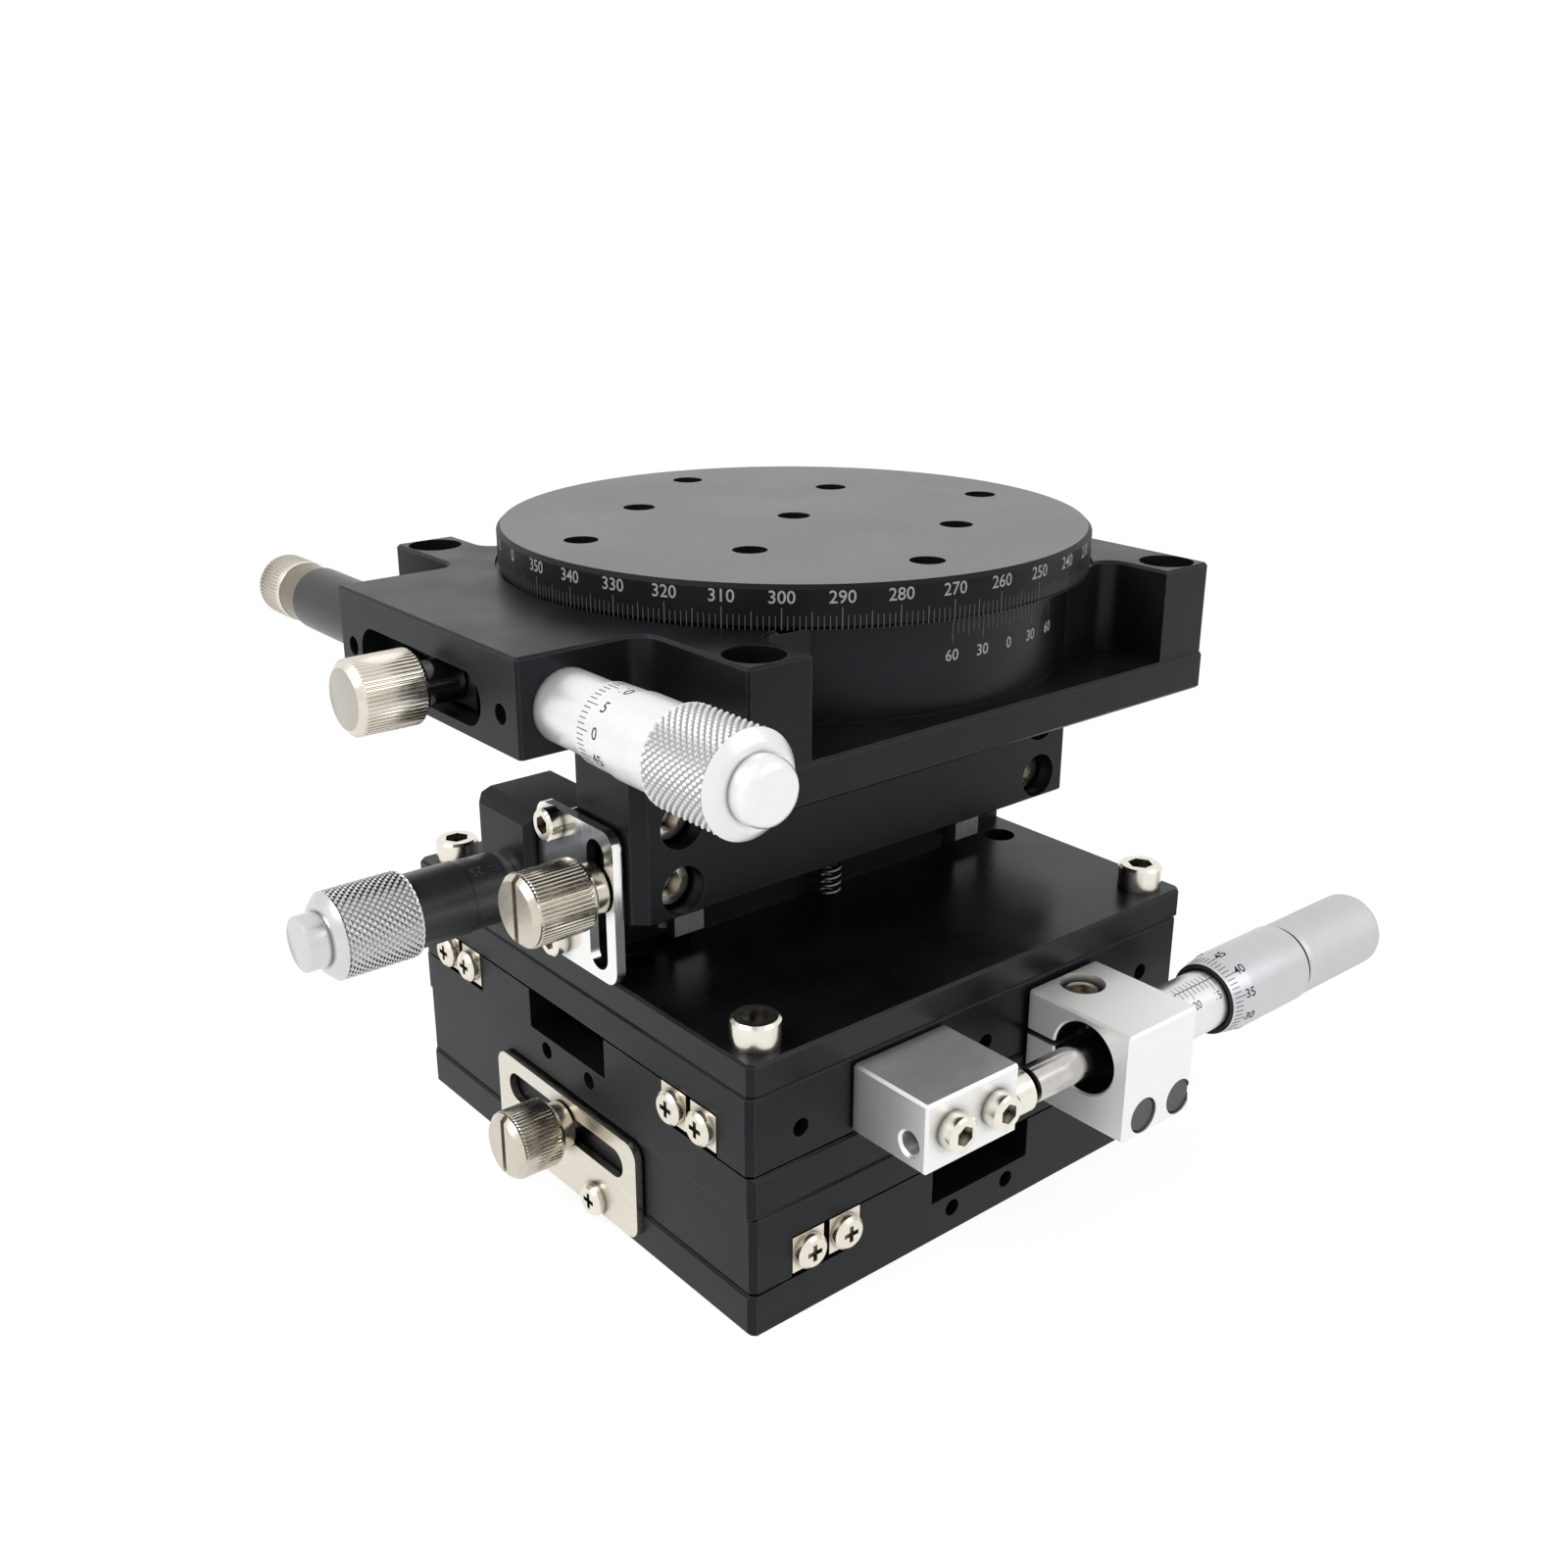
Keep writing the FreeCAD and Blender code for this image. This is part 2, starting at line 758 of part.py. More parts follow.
def stage_base(name, placement):
    """Slab with two long ridges that carry the inner rails, and a channel between them."""
    body = new_body(name)
    sketch = new_sketch(body, "XZ_Plane")
    draw_outline(sketch, [
        (-half, 0),
        (half, 0),
        (half, s.base_slab),
        (ridge_half, s.base_slab),
        (ridge_half, ridge_top),
        (s.channel_half, ridge_top),
        (s.channel_half, s.base_slab),
        (-s.channel_half, s.base_slab),
        (-s.channel_half, ridge_top),
        (-ridge_half, ridge_top),
        (-ridge_half, s.base_slab),
        (-half, s.base_slab),
    ])
    pad(body, sketch, s.side, both_ways=True)
    break_edges(body, lambda edge: outer_corner(edge, half, half), s.corner_break)
    side_face = lambda edge: runs_along(edge, 1) and abs(abs(edge.CenterOfMass.x) - float(half)) < 1e-3
    break_edges(body, side_face, s.edge_break)
    sketch = new_sketch(body, "XY_Plane", s.base_slab)
    for side_x in (-1, 1):
        for side_y in (-1, 1):
            place = corner_place
            draw_circle(sketch, place * side_x, place * side_y, s.base_hole_dia)
    cut(body, sketch)
    sketch = new_sketch(body, "YZ_Plane", half)
    for side in (-1, 1):
        place = bracket_screw_middle + s.bracket_screw_pitch / 2 * side
        draw_circle(sketch, place, s.bracket_screw_level, s.small_shank_dia + s.screw_play)
    cut(body, sketch, s.bracket_width / 2)
    sketch = new_sketch(body, "YZ_Plane", -half)
    for side in (-1, 1):
        draw_circle(sketch, s.lock_screw_pitch / 2 * side, s.lock_screw_level, s.pan_shank_dia + s.screw_play)
    cut(body, sketch, s.knob_shank_length, reverse=True)
    for face in (half, -half):
        sketch = new_sketch(body, "XZ_Plane", face)
        for side in (-1, 1):
            draw_circle(sketch, s.end_hole_place * side, s.end_hole_level, s.set_screw_dia)
        cut(body, sketch, s.end_hole_depth, reverse=face is not half)
    body.Placement = placement


def stage_table(name, placement):
    """Inverted channel: a slab on two legs, with the outer rails on the legs' inner sides."""
    body = new_body(name)
    sketch = new_sketch(body, "XZ_Plane")
    draw_outline(sketch, [
        (-table_half, table_level),
        (-leg_inner, table_level),
        (-leg_inner, table_underside),
        (leg_inner, table_underside),
        (leg_inner, table_level),
        (table_half, table_level),
        (table_half, slide_height),
        (-table_half, slide_height),
    ])
    pad(body, sketch, s.side, both_ways=True)
    break_edges(body, lambda edge: outer_corner(edge, table_half, half), s.corner_break)
    break_edges(body, lambda edge: level_edge(edge, slide_height), s.edge_break)
    sketch = new_sketch(body, "XY_Plane", slide_height)
    for side_x in (-1, 1):
        for side_y in (-1, 1):
            place = corner_place
            draw_circle(sketch, place * side_x, place * side_y, s.cap_shank_dia + s.screw_play)
    cut(body, sketch, s.table_slab + s.leg_height / 2)
    sketch = new_sketch(body, "YZ_Plane", -table_half)
    draw_circle(sketch, 0, s.lock_level, s.knob_shank_dia + s.screw_play)
    cut(body, sketch, s.leg_width - s.side_relief, reverse=True)
    sketch = new_sketch(body, "YZ_Plane", table_half)
    for side in (-1, 1):
        place = block_middle + s.block_screw_pitch / 2 * side
        draw_circle(sketch, place, block_screw_level, s.small_shank_dia + s.screw_play)
        draw_circle(sketch, s.side_hole_place * side, s.side_hole_level, s.set_screw_dia)
    draw_circle(sketch, 0, s.side_hole_level, s.set_screw_dia)
    cut(body, sketch, s.leg_width - s.side_relief)
    body.Placement = placement


def stage_rails(name, outward, start, level, placement):
    """The pair of rails on one part of a slide, with their end stops and stop screws."""
    solids = []
    end = float(rail_length) / 2
    thick = float(s.stop_thick)
    seat = end + thick
    for side in (-1, 1):
        rail = grooved_rail(s.rail_width, s.rail_height, rail_length, s.rail_groove)
        if not outward:
            rail = rail.mirror(at(0, 0, 0), at(1, 0, 0))
        rail.translate(at(start, 0, level))
        inner = float(start) if outward else float(start - s.rail_width)
        outer = inner + float(s.rail_width)
        trim = float(s.rail_top_gap) / 2
        for turn in (-1, 1):
            near = min(turn * end, turn * seat)
            low = at(inner + trim, near, float(level) + trim)
            high = at(outer - trim, near + thick, float(level + s.rail_height) - trim)
            middle = at((inner + outer) / 2, turn * seat, float(level) + float(s.rail_height) / 2)
            plate = box_between(low, high)
            screw = pan_screw(middle, at(0, turn, 0), thick + 4)
            hole = Part.makeCylinder(float(s.pan_shank_dia) / 2, thick + 4, middle, at(0, -turn, 0))
            rail = rail.cut(hole)
            pieces = [plate.cut(hole), screw]
            solids += pieces if side > 0 else [piece.mirror(at(0, 0, 0), at(1, 0, 0)) for piece in pieces]
        solids.append(rail if side > 0 else rail.mirror(at(0, 0, 0), at(1, 0, 0)))
    new_group(name, solids, placement)


def stage_cages(name, placement):
    """A thin strip between each pair of rails, with crossed rollers along it."""
    solids = []
    middle_x = float(ridge_half + leg_inner) / 2
    middle_z = float(rail_level) + float(s.rail_height) / 2
    thick = float(s.cage_thick)
    reach = float(s.cage_length) / 2
    tall = float(s.cage_height)
    count = round(float(s.roller_count))
    spacing = float(s.cage_length) / count
    for side in (-1, 1):
        low = at(side * middle_x - thick / 2, -reach, middle_z - tall / 2)
        high = at(side * middle_x + thick / 2, reach, middle_z + tall / 2)
        strip = box_between(low, high)
        for number in range(count):
            lean = 1 if number % 2 else -1
            axis = at(1, 0, lean) / math.sqrt(2)
            length = float(s.roller_dia) * 0.95
            centre = at(side * middle_x, -reach + spacing * (number + 0.5), middle_z)
            start = centre - axis * length / 2
            strip = strip.fuse(Part.makeCylinder(float(s.roller_dia) / 2, length, start, axis))
        solids.append(strip)
    new_group(name, solids, placement)


def stage_lock_plate(name, placement):
    body = new_body(name)
    sketch = new_sketch(body, "YZ_Plane", -half)
    top = s.lock_plate_bottom + s.lock_plate_height
    draw_box(sketch, -s.lock_plate_half, s.lock_plate_bottom, s.lock_plate_half, top)
    pad(body, sketch, s.lock_plate_thick, reverse=True)
    break_edges(body, lambda edge: runs_along(edge, 0), s.lock_plate_corner, "Fillet")
    sketch = new_sketch(body, "YZ_Plane", -half)
    slot_length = 2 * s.travel + s.knob_shank_dia + 2 * s.lock_slot_play
    draw_slot(sketch, 0, s.lock_level, slot_length, s.lock_slot_width)
    for side in (-1, 1):
        draw_circle(sketch, s.lock_screw_pitch / 2 * side, s.lock_screw_level, s.pan_shank_dia + s.screw_play)
    cut(body, sketch)
    body.Placement = placement


def stage_base_screws(name, placement):
    """Lock plate screws, bracket screws and the bracket's clamp screw."""
    solids = []
    for side in (-1, 1):
        seat = at(-half - s.lock_plate_thick, s.lock_screw_pitch / 2 * side, s.lock_screw_level)
        solids.append(pan_screw(seat, at(-1, 0, 0), s.lock_plate_thick + 4))
        seat = at(bracket_sink_seat, bracket_screw_middle + s.bracket_screw_pitch / 2 * side,
                  s.bracket_screw_level)
        length = bracket_sink_seat - half + 6
        solids.append(socket_screw(seat, at(1, 0, 0), length, s.small_head_dia, s.small_head_height,
                                   s.small_shank_dia))
    seat = at(half + s.clamp_screw_out, bracket_middle, bracket_height - s.clamp_sink)
    length = bracket_height - s.clamp_sink - s.bracket_screw_level - s.bracket_screw_level
    solids.append(socket_screw(seat, UP, length, s.small_head_dia, s.clamp_sink - s.corner_break,
                               s.small_shank_dia))
    new_group(name, solids, placement)


def stage_bracket(name, placement):
    """Clamp block for the micrometer head, split from the bore to the slide's side."""
    body = new_body(name)
    near = s.bracket_place
    far = s.bracket_place + s.bracket_length
    outer = half + s.bracket_width
    sketch = new_sketch(body, "XY_Plane")
    draw_box(sketch, half, near, outer, far)
    pad(body, sketch, bracket_height)
    break_edges(body, lambda edge: edge.Length > 1, s.edge_break)
    axis = half + s.head_axis_out
    sketch = new_sketch(body, "XZ_Plane", -far)
    draw_circle(sketch, axis, s.head_axis_level, s.bracket_bore_dia)
    cut(body, sketch, reverse=True)
    sketch = new_sketch(body, "XZ_Plane", -near)
    draw_circle(sketch, axis, s.head_axis_level, s.bracket_recess_dia)
    cut(body, sketch, s.bracket_recess_depth)
    break_edges(body, lambda edge: bore_rim(edge, near), s.edge_break)
    sketch = new_sketch(body, "XZ_Plane", -far)
    low = s.head_axis_level - s.bracket_slit / 2
    draw_box(sketch, half - s.bracket_slit, low, axis, low + s.bracket_slit)
    cut(body, sketch, reverse=True)
    screw_x = half + s.clamp_screw_out
    sketch = new_sketch(body, "XY_Plane", bracket_height)
    draw_circle(sketch, screw_x, bracket_middle, s.clamp_recess_dia)
    cut(body, sketch, s.clamp_sink)
    sketch = new_sketch(body, "XY_Plane", bracket_height)
    draw_circle(sketch, screw_x, bracket_middle, s.small_shank_dia + s.screw_play)
    cut(body, sketch, bracket_height - 2 * s.bracket_screw_level)
    for diameter, depth in ((s.small_head_dia + s.side_relief, outer - bracket_sink_seat),
                            (s.small_shank_dia + s.screw_play, None)):
        sketch = new_sketch(body, "YZ_Plane", outer)
        for side in (-1, 1):
            place = bracket_screw_middle + s.bracket_screw_pitch / 2 * side
            draw_circle(sketch, place, s.bracket_screw_level, diameter)
        cut(body, sketch, depth)
    body.Placement = placement


def bore_rim(edge, near):
    """True for the round edge of the bracket's bore on its near face."""
    round_edge = edge.Curve.TypeId == "Part::GeomCircle"
    return round_edge and abs(edge.CenterOfMass.y - float(near)) < 1e-3 and edge.Length > 20


def stage_stop_block(name, placement):
    """Block on the table's side that carries the contact pin."""
    body = new_body(name)
    sketch = new_sketch(body, "XY_Plane", s.block_level)
    near = s.block_place
    far = s.block_place + s.block_length
    outer = table_half + s.block_width
    draw_box(sketch, table_half, near, outer, far)
    pad(body, sketch, s.block_height)
    break_edges(body, lambda edge: edge.Length > 1, s.edge_break)
    sketch = new_sketch(body, "YZ_Plane", outer)
    for side in (-1, 1):
        place = block_middle + s.block_screw_pitch / 2 * side
        draw_circle(sketch, place, block_screw_level, s.small_shank_dia + s.screw_play)
    cut(body, sketch)
    sketch = new_sketch(body, "XZ_Plane", -near)
    draw_circle(sketch, half + s.head_axis_out, s.head_axis_level, s.pin_hole_dia)
    cut(body, sketch, s.pin_hole_depth)
    hole_rim = lambda edge: edge.Curve.TypeId == "Part::GeomCircle" and abs(edge.CenterOfMass.y - float(near)) < 1e-3
    break_edges(body, hole_rim, s.edge_break)
    body.Placement = placement


def stage_stop_hardware(name, placement):
    """Contact pin and the two cap screws that hold the stop block."""
    solids = []
    for side in (-1, 1):
        seat = at(table_half + s.block_width, block_middle + s.block_screw_pitch / 2 * side, block_screw_level)
        solids.append(socket_screw(seat, at(1, 0, 0), s.block_width + 5, s.small_head_dia,
                                   s.small_head_height, s.small_shank_dia))
    face = float(s.block_place + s.block_length)
    axis_x = half + s.head_axis_out
    pin = Part.makeCylinder(float(s.contact_dia) / 2, float(s.contact_length), at(axis_x, face, s.head_axis_level),
                            at(0, 1, 0))
    rim = [edge for edge in pin.Edges if edge.Curve.TypeId == "Part::GeomCircle" and edge.CenterOfMass.y > face + 1]
    pin = pin.makeChamfer(float(s.edge_break), rim)
    neck_start = at(axis_x, face + float(s.contact_length), s.head_axis_level)
    neck = Part.makeCylinder(float(s.contact_neck_dia) / 2, float(s.contact_neck_length), neck_start, at(0, 1, 0))
    solids.append(pin.fuse(neck))
    new_group(name, solids, placement)


def linear_slide(prefix, placement):
    """One crossed-roller slide that moves along its own Y, with lock and micrometer."""
    stage_base(prefix + "_base", placement)
    stage_rails(prefix + "_fixed_rails", True, ridge_half, rail_level, placement)
    stage_cages(prefix + "_roller_cages", placement)
    stage_table(prefix + "_table", placement)
    stage_rails(prefix + "_moving_rails", False, leg_inner, rail_level, placement)
    stage_lock_plate(prefix + "_lock_plate", placement)
    stage_base_screws(prefix + "_base_screws", placement)
    plate_face = -half - s.lock_plate_thick - s.knob_play
    knob_place = placement.multiply(placed(plate_face, 0, s.lock_level, AGAINST_X))
    shank_length = s.lock_plate_thick + s.knob_play + s.knob_shank_length
    thumb_screw(prefix + "_lock_knob", s.knob_dia, s.knob_length, s.collar_dia, s.collar_length,
                s.knob_shank_dia, shank_length, knob_place)
    stage_bracket(prefix + "_bracket", placement)
    stage_stop_block(prefix + "_stop_block", placement)
    stage_stop_hardware(prefix + "_stop_hardware", placement)
    seat = placed(half + s.head_axis_out, s.bracket_place + s.bracket_length, s.head_axis_level, ALONG_Y)
    head_place = placement.multiply(seat)
    stem_dia = s.bracket_bore_dia - 2 * s.fit_clearance
    stem_length = s.bracket_length - s.bracket_recess_depth
    micrometer_sleeve(prefix + "_sleeve", stem_dia, stem_length, s.sleeve_dia, s.sleeve_reach,
                      s.spindle_dia, head_place)
    tip = s.block_place + s.block_length + s.contact_length + s.contact_neck_length + s.contact_gap
    low = tip - s.bracket_place - s.bracket_length
    high = s.thimble_start + s.thimble_length + s.cap_length - s.cap_wall
    micrometer_spindle(prefix + "_spindle", s.spindle_dia, low, high, head_place)
    large_thimble(prefix + "_thimble", head_place)


bracket_middle = s.bracket_place + s.bracket_length / 2
bracket_screw_middle = bracket_middle + s.bracket_screw_shift
bracket_sink_seat = half + s.bracket_width - s.small_head_height - s.bracket_screw_sink
block_middle = s.block_place + s.block_length / 2
block_screw_level = s.block_level + s.block_height / 2 + s.edge_break

linear_slide("y", placed(0, 0, 0))
linear_slide("x", placed(0, 0, slide_height, FreeCAD.Rotation(UP, -90)))


def square_plate(name, half_side, level, thick, hole_dia):
    """Square plate with broken edges and a hole near each corner."""
    body = new_body(name)
    sketch = new_sketch(body, "XY_Plane", level)
    draw_box(sketch, -half_side, -half_side, half_side, half_side)
    pad(body, sketch, thick)
    break_edges(body, lambda edge: outer_corner(edge, half_side, half_side), s.corner_break)
    break_edges(body, lambda edge: not runs_along(edge, 2), s.edge_break)
    sketch = new_sketch(body, "XY_Plane", level + thick)
    for side_x in (-1, 1):
        for side_y in (-1, 1):
            draw_circle(sketch, corner_place * side_x, corner_place * side_y, hole_dia)
    cut(body, sketch)
    return body


def corner_screws(name, seat_level, length):
    solids = []
    for side_x in (-1, 1):
        for side_y in (-1, 1):
            seat = at(corner_place * side_x, corner_place * side_y, seat_level)
            solids.append(socket_screw(seat, UP, length, s.cap_head_dia, s.cap_head_height, s.cap_shank_dia))
    new_group(name, solids)


def lift_column():
    """Fixed upright plate whose front boss carries the inner vertical rails."""
    body = new_body("z_column")
    sketch = new_sketch(body, "XY_Plane", lift_level)
    boss_front = -s.column_front - s.boss_depth
    draw_outline(sketch, [
        (-half, -s.column_front),
        (-boss_half, -s.column_front),
        (-boss_half, boss_front),
        (boss_half, boss_front),
        (boss_half, -s.column_front),
        (column_right, -s.column_front),
        (column_right, s.column_back),
        (-half, s.column_back),
    ])
    pad(body, sketch, s.column_height)
    break_edges(body, lambda edge: level_edge(edge, lift_level + s.column_height), s.edge_break)
    sketch = new_sketch(body, "YZ_Plane", -half)
    for number in (0, 1):
        level = lift_level + s.lift_lock_screw_low + s.lift_lock_screw_pitch * number
        draw_circle(sketch, s.lift_lock_screw_place, level, s.pan_shank_dia + s.screw_play)
    cut(body, sketch, s.knob_shank_length, reverse=True)


def lift_carriage():
    """Front plate with two short legs that wrap the outer vertical rails."""
    body = new_body("z_carriage")
    sketch = new_sketch(body, "XY_Plane", carriage_level)
    wide = carriage_half
    front = -s.carriage_front
    back = -s.column_front - s.carriage_gap
    leg = wide - s.carriage_leg
    pocket_side = boss_half - s.carriage_gap
    web = -s.column_front - s.boss_depth - s.carriage_gap
    corner = s.carriage_break
    draw_outline(sketch, [
        (-wide + corner, front),
        (wide - corner, front),
        (wide, front + corner),
        (wide, back),
        (leg, back),
        (leg, -rail_pocket),
        (pocket_side, -rail_pocket),
        (pocket_side, web),
        (-pocket_side, web),
        (-pocket_side, -rail_pocket),
        (-leg, -rail_pocket),
        (-leg, back),
        (-wide, back),
        (-wide, front + corner),
    ])
    pad(body, sketch, s.carriage_height)
    low_front = lambda edge: level_edge(edge, carriage_level) and edge.CenterOfMass.y < float(front + corner)
    break_edges(body, low_front, s.edge_break)
    for diameter, depth in ((s.carriage_sink_dia, s.carriage_sink_depth),
                            (s.cap_shank_dia + s.screw_play, s.carriage_front - rail_pocket)):
        sketch = new_sketch(body, "XZ_Plane", s.carriage_front)
        for side in (-1, 1):
            for number in (0, 1):
                level = carriage_level + s.carriage_screw_low + s.carriage_screw_pitch * number
                draw_circle(sketch, carriage_screw_place * side, level, diameter)
        cut(body, sketch, depth)
    sketch = new_sketch(body, "XY_Plane", carriage_level)
    draw_circle(sketch, s.spring_place, -s.spring_depth, s.spring_bore_dia)
    cut(body, sketch, s.spring_bore_depth, reverse=True)
    sketch = new_sketch(body, "YZ_Plane", -wide)
    draw_circle(sketch, s.lift_slot_place, lift_level + s.lift_knob_level, s.knob_shank_dia + s.screw_play)
    cut(body, sketch, lift_lock_depth, reverse=True)


def carriage_screws():
    solids = []
    for side in (-1, 1):
        for number in (0, 1):
            level = carriage_level + s.carriage_screw_low + s.carriage_screw_pitch * number
            seat = at(carriage_screw_place * side, -s.carriage_front + s.carriage_sink_depth, level)
            length = s.carriage_front - s.carriage_sink_depth - rail_pocket
            solids.append(socket_screw(seat, at(0, -1, 0), length, s.cap_head_dia, s.cap_head_height,
                                       s.cap_shank_dia))
    new_group("z_carriage_screws", solids)


def lift_rail(side, inner, groove_outward, level, length, depth_front):
    """One vertical rail with its V groove towards its partner."""
    rail = grooved_rail(s.lift_rail_width, s.lift_rail_depth, length, s.rail_groove)
    if not groove_outward:
        rail = rail.mirror(at(0, 0, 0), at(1, 0, 0))
    rail.rotate(at(0, 0, 0), at(1, 0, 0), 90)
    rail.translate(at(inner, depth_front, level + length / 2))
    return rail if side > 0 else rail.mirror(at(0, 0, 0), at(1, 0, 0))


def lift_rails():
    """Rails on the column's boss and on the carriage's legs."""
    low = lift_level + s.lift_rail_end
    fixed_length = s.column_height - 2 * s.lift_rail_end
    front = -s.column_front - s.lift_rail_depth
    fixed = [
        lift_rail(side, boss_half, True, low, fixed_length, -s.column_front)
        for side in (-1, 1)
    ]
    new_group("z_fixed_rails", fixed)
    moving_length = s.carriage_height - s.lift_rail_end
    moving_back = -rail_pocket + s.lift_rail_depth
    moving = [
        lift_rail(side, carriage_half - s.carriage_leg, False, carriage_level + s.lift_rail_end,
                  moving_length, moving_back)
        for side in (-1, 1)
    ]
    new_group("z_moving_rails", moving)


def return_spring():
    """Return spring from the base plate to the end of the carriage's bore."""
    radius = float(s.spring_dia) / 2
    foot = at(s.spring_place, -s.spring_depth, lift_level)
    length = float(s.carriage_rise + s.spring_bore_depth)
    outer = Part.makeCylinder(radius, length, foot)
    inner = Part.makeCylinder(radius - float(s.spring_wire), length, foot)
    new_group("z_return_spring", [outer.cut(inner)])


def head_block():
    """Block that holds the lift's micrometer head, bevelled along its top."""
    body = new_body("z_micrometer_block")
    near = s.column_back
    far = s.column_back + s.head_block_width
    left = -half - s.head_block_front
    right = left + s.head_block_length
    top = lift_level + s.head_block_height
    sketch = new_sketch(body, "XY_Plane", lift_level)
    draw_box(sketch, left, near, right, far)
    pad(body, sketch, s.head_block_height)
    break_edges(body, lambda edge: level_edge(edge, top) and edge.CenterOfMass.x < float(left) + 1e-3,
                s.head_block_bevel)
    upright = lambda edge: runs_along(edge, 2) and edge.CenterOfMass.x < float(left) + 1e-3
    break_edges(body, upright, s.corner_break)
    far_top = lambda edge: level_edge(edge, top) and runs_along(edge, 0) and edge.CenterOfMass.y > float(far) - 1e-3
    break_edges(body, far_top, s.corner_break)
    sketch = new_sketch(body, "YZ_Plane", left)
    draw_circle(sketch, s.lift_head_place, lift_level + s.lift_head_level, s.small_stem_dia)
    cut(body, sketch, reverse=True)


def lift_lock():
    """Slotted lock plate beside the lift, with its two screws."""
    body = new_body("z_lock_plate")
    sketch = new_sketch(body, "YZ_Plane", -half)
    low = lift_level + s.lift_plate_bottom
    draw_box(sketch, s.lift_plate_near, low, s.lift_plate_far, low + s.lift_plate_height)
    pad(body, sketch, s.lift_lock_thick, reverse=True)
    break_edges(body, lambda edge: runs_along(edge, 0), s.lock_plate_corner, "Fillet")
    sketch = new_sketch(body, "YZ_Plane", -half)
    slot_middle = lift_level + s.lift_slot_low + s.lift_slot_length / 2
    draw_slot(sketch, s.lift_slot_place, slot_middle, s.lift_slot_length, s.lift_slot_width, upright=True)
    screws = []
    for number in (0, 1):
        level = lift_level + s.lift_lock_screw_low + s.lift_lock_screw_pitch * number
        draw_circle(sketch, s.lift_lock_screw_place, level, s.pan_shank_dia + s.screw_play)
        seat = at(-half - s.lift_lock_thick, s.lift_lock_screw_place, level)
        screws.append(socket_screw(seat, at(-1, 0, 0), s.lift_lock_thick + 4, s.lift_lock_head_dia,
                                   s.lift_lock_head_height, s.pan_shank_dia))
    cut(body, sketch)
    new_group("z_lock_screws", screws)
    knob_face = -half - s.lift_lock_thick - s.knob_play
    knob_place = placed(knob_face, s.lift_slot_place, lift_level + s.lift_knob_level, AGAINST_X)
    shank_length = -knob_face - carriage_half + lift_lock_depth - s.knob_play
    thumb_screw("z_lock_knob", s.knob_dia, s.lift_knob_length, s.collar_dia, s.collar_length,
                s.knob_shank_dia, shank_length, knob_place)


def wedge_drive():
    """Channel guide, sliding wedge, and the fork and roller that ride on its ramp."""
    middle = s.lift_head_place
    guide_half = s.wedge_width / 2 + s.side_relief + s.guide_wall
    inner = guide_half - s.guide_wall
    body = new_body("z_wedge_guide")
    sketch = new_sketch(body, "YZ_Plane", -s.guide_left)
    floor = lift_level + s.guide_floor
    top = lift_level + s.guide_height
    draw_outline(sketch, [
        (middle - guide_half, lift_level),
        (middle + guide_half, lift_level),
        (middle + guide_half, top),
        (middle + inner, top),
        (middle + inner, floor),
        (middle - inner, floor),
        (middle - inner, top),
        (middle - guide_half, top),
    ])
    pad(body, sketch, s.guide_left + s.guide_right)

    body = new_body("z_wedge")
    sketch = new_sketch(body, "XZ_Plane", -middle)
    wedge_top = lift_level + s.wedge_top
    toe = floor + s.wedge_toe
    foot = floor + s.wedge_float
    ramp_end = wedge_top - toe - s.wedge_ramp_start
    draw_outline(sketch, [
        (-s.wedge_left, foot),
        (ramp_end, foot),
        (ramp_end, toe),
        (-s.wedge_ramp_start, wedge_top),
        (-s.wedge_left, wedge_top),
    ])
    pad(body, sketch, s.wedge_width, both_ways=True)

    roller_radius = s.lift_roller_dia / 2 + s.running_clearance
    roller_level = wedge_top - s.wedge_ramp_start + roller_radius * math.sqrt(2)
    body = new_body("z_follower")
    sketch = new_sketch(body, "XZ_Plane", -middle)
    shoulder = roller_level + s.fork_height
    fork = s.fork_half
    draw_outline(sketch, [
        (-s.follower_half, top_level),
        (-s.follower_half, shoulder + fork),
        (-fork, shoulder),
        (-fork, roller_level - fork / 2),
        (-fork / 2, roller_level - fork),
        (fork / 2, roller_level - fork),
        (fork, roller_level - fork / 2),
        (fork, shoulder),
        (s.follower_half, shoulder + fork),
        (s.follower_half, top_level),
    ])
    pad(body, sketch, s.wedge_width - 2 * s.side_relief, both_ways=True)
    sketch = new_sketch(body, "YZ_Plane", s.follower_half)
    slot_half = s.fork_slot / 2
    slot_top = roller_level + s.lift_roller_dia / 2 + s.side_relief
    draw_box(sketch, middle - slot_half, roller_level - s.lift_roller_dia, middle + slot_half, slot_top)
    cut(body, sketch)
    sketch = new_sketch(body, "XZ_Plane", -middle)
    draw_circle(sketch, 0, roller_level, s.roller_pin_dia + 2 * s.fit_clearance)
    cut(body, sketch, s.side, both_ways=True)

    body = new_body("z_roller")
    turn_profile(body, [
        (s.roller_pin_dia / 2 + s.running_clearance, -s.lift_roller_width / 2),
        (s.lift_roller_dia / 2, -s.lift_roller_width / 2),
        (s.lift_roller_dia / 2, s.lift_roller_width / 2),
        (s.roller_pin_dia / 2 + s.running_clearance, s.lift_roller_width / 2),
    ])
    body.Placement = placed(0, middle, roller_level, ALONG_Y)
    pin_length = float(s.wedge_width - 2 * s.side_relief)
    pin_start = at(0, float(middle) - pin_length / 2, roller_level)
    pin = Part.makeCylinder(float(s.roller_pin_dia) / 2, pin_length, pin_start, at(0, 1, 0))
    new_group("z_roller_pin", [pin])


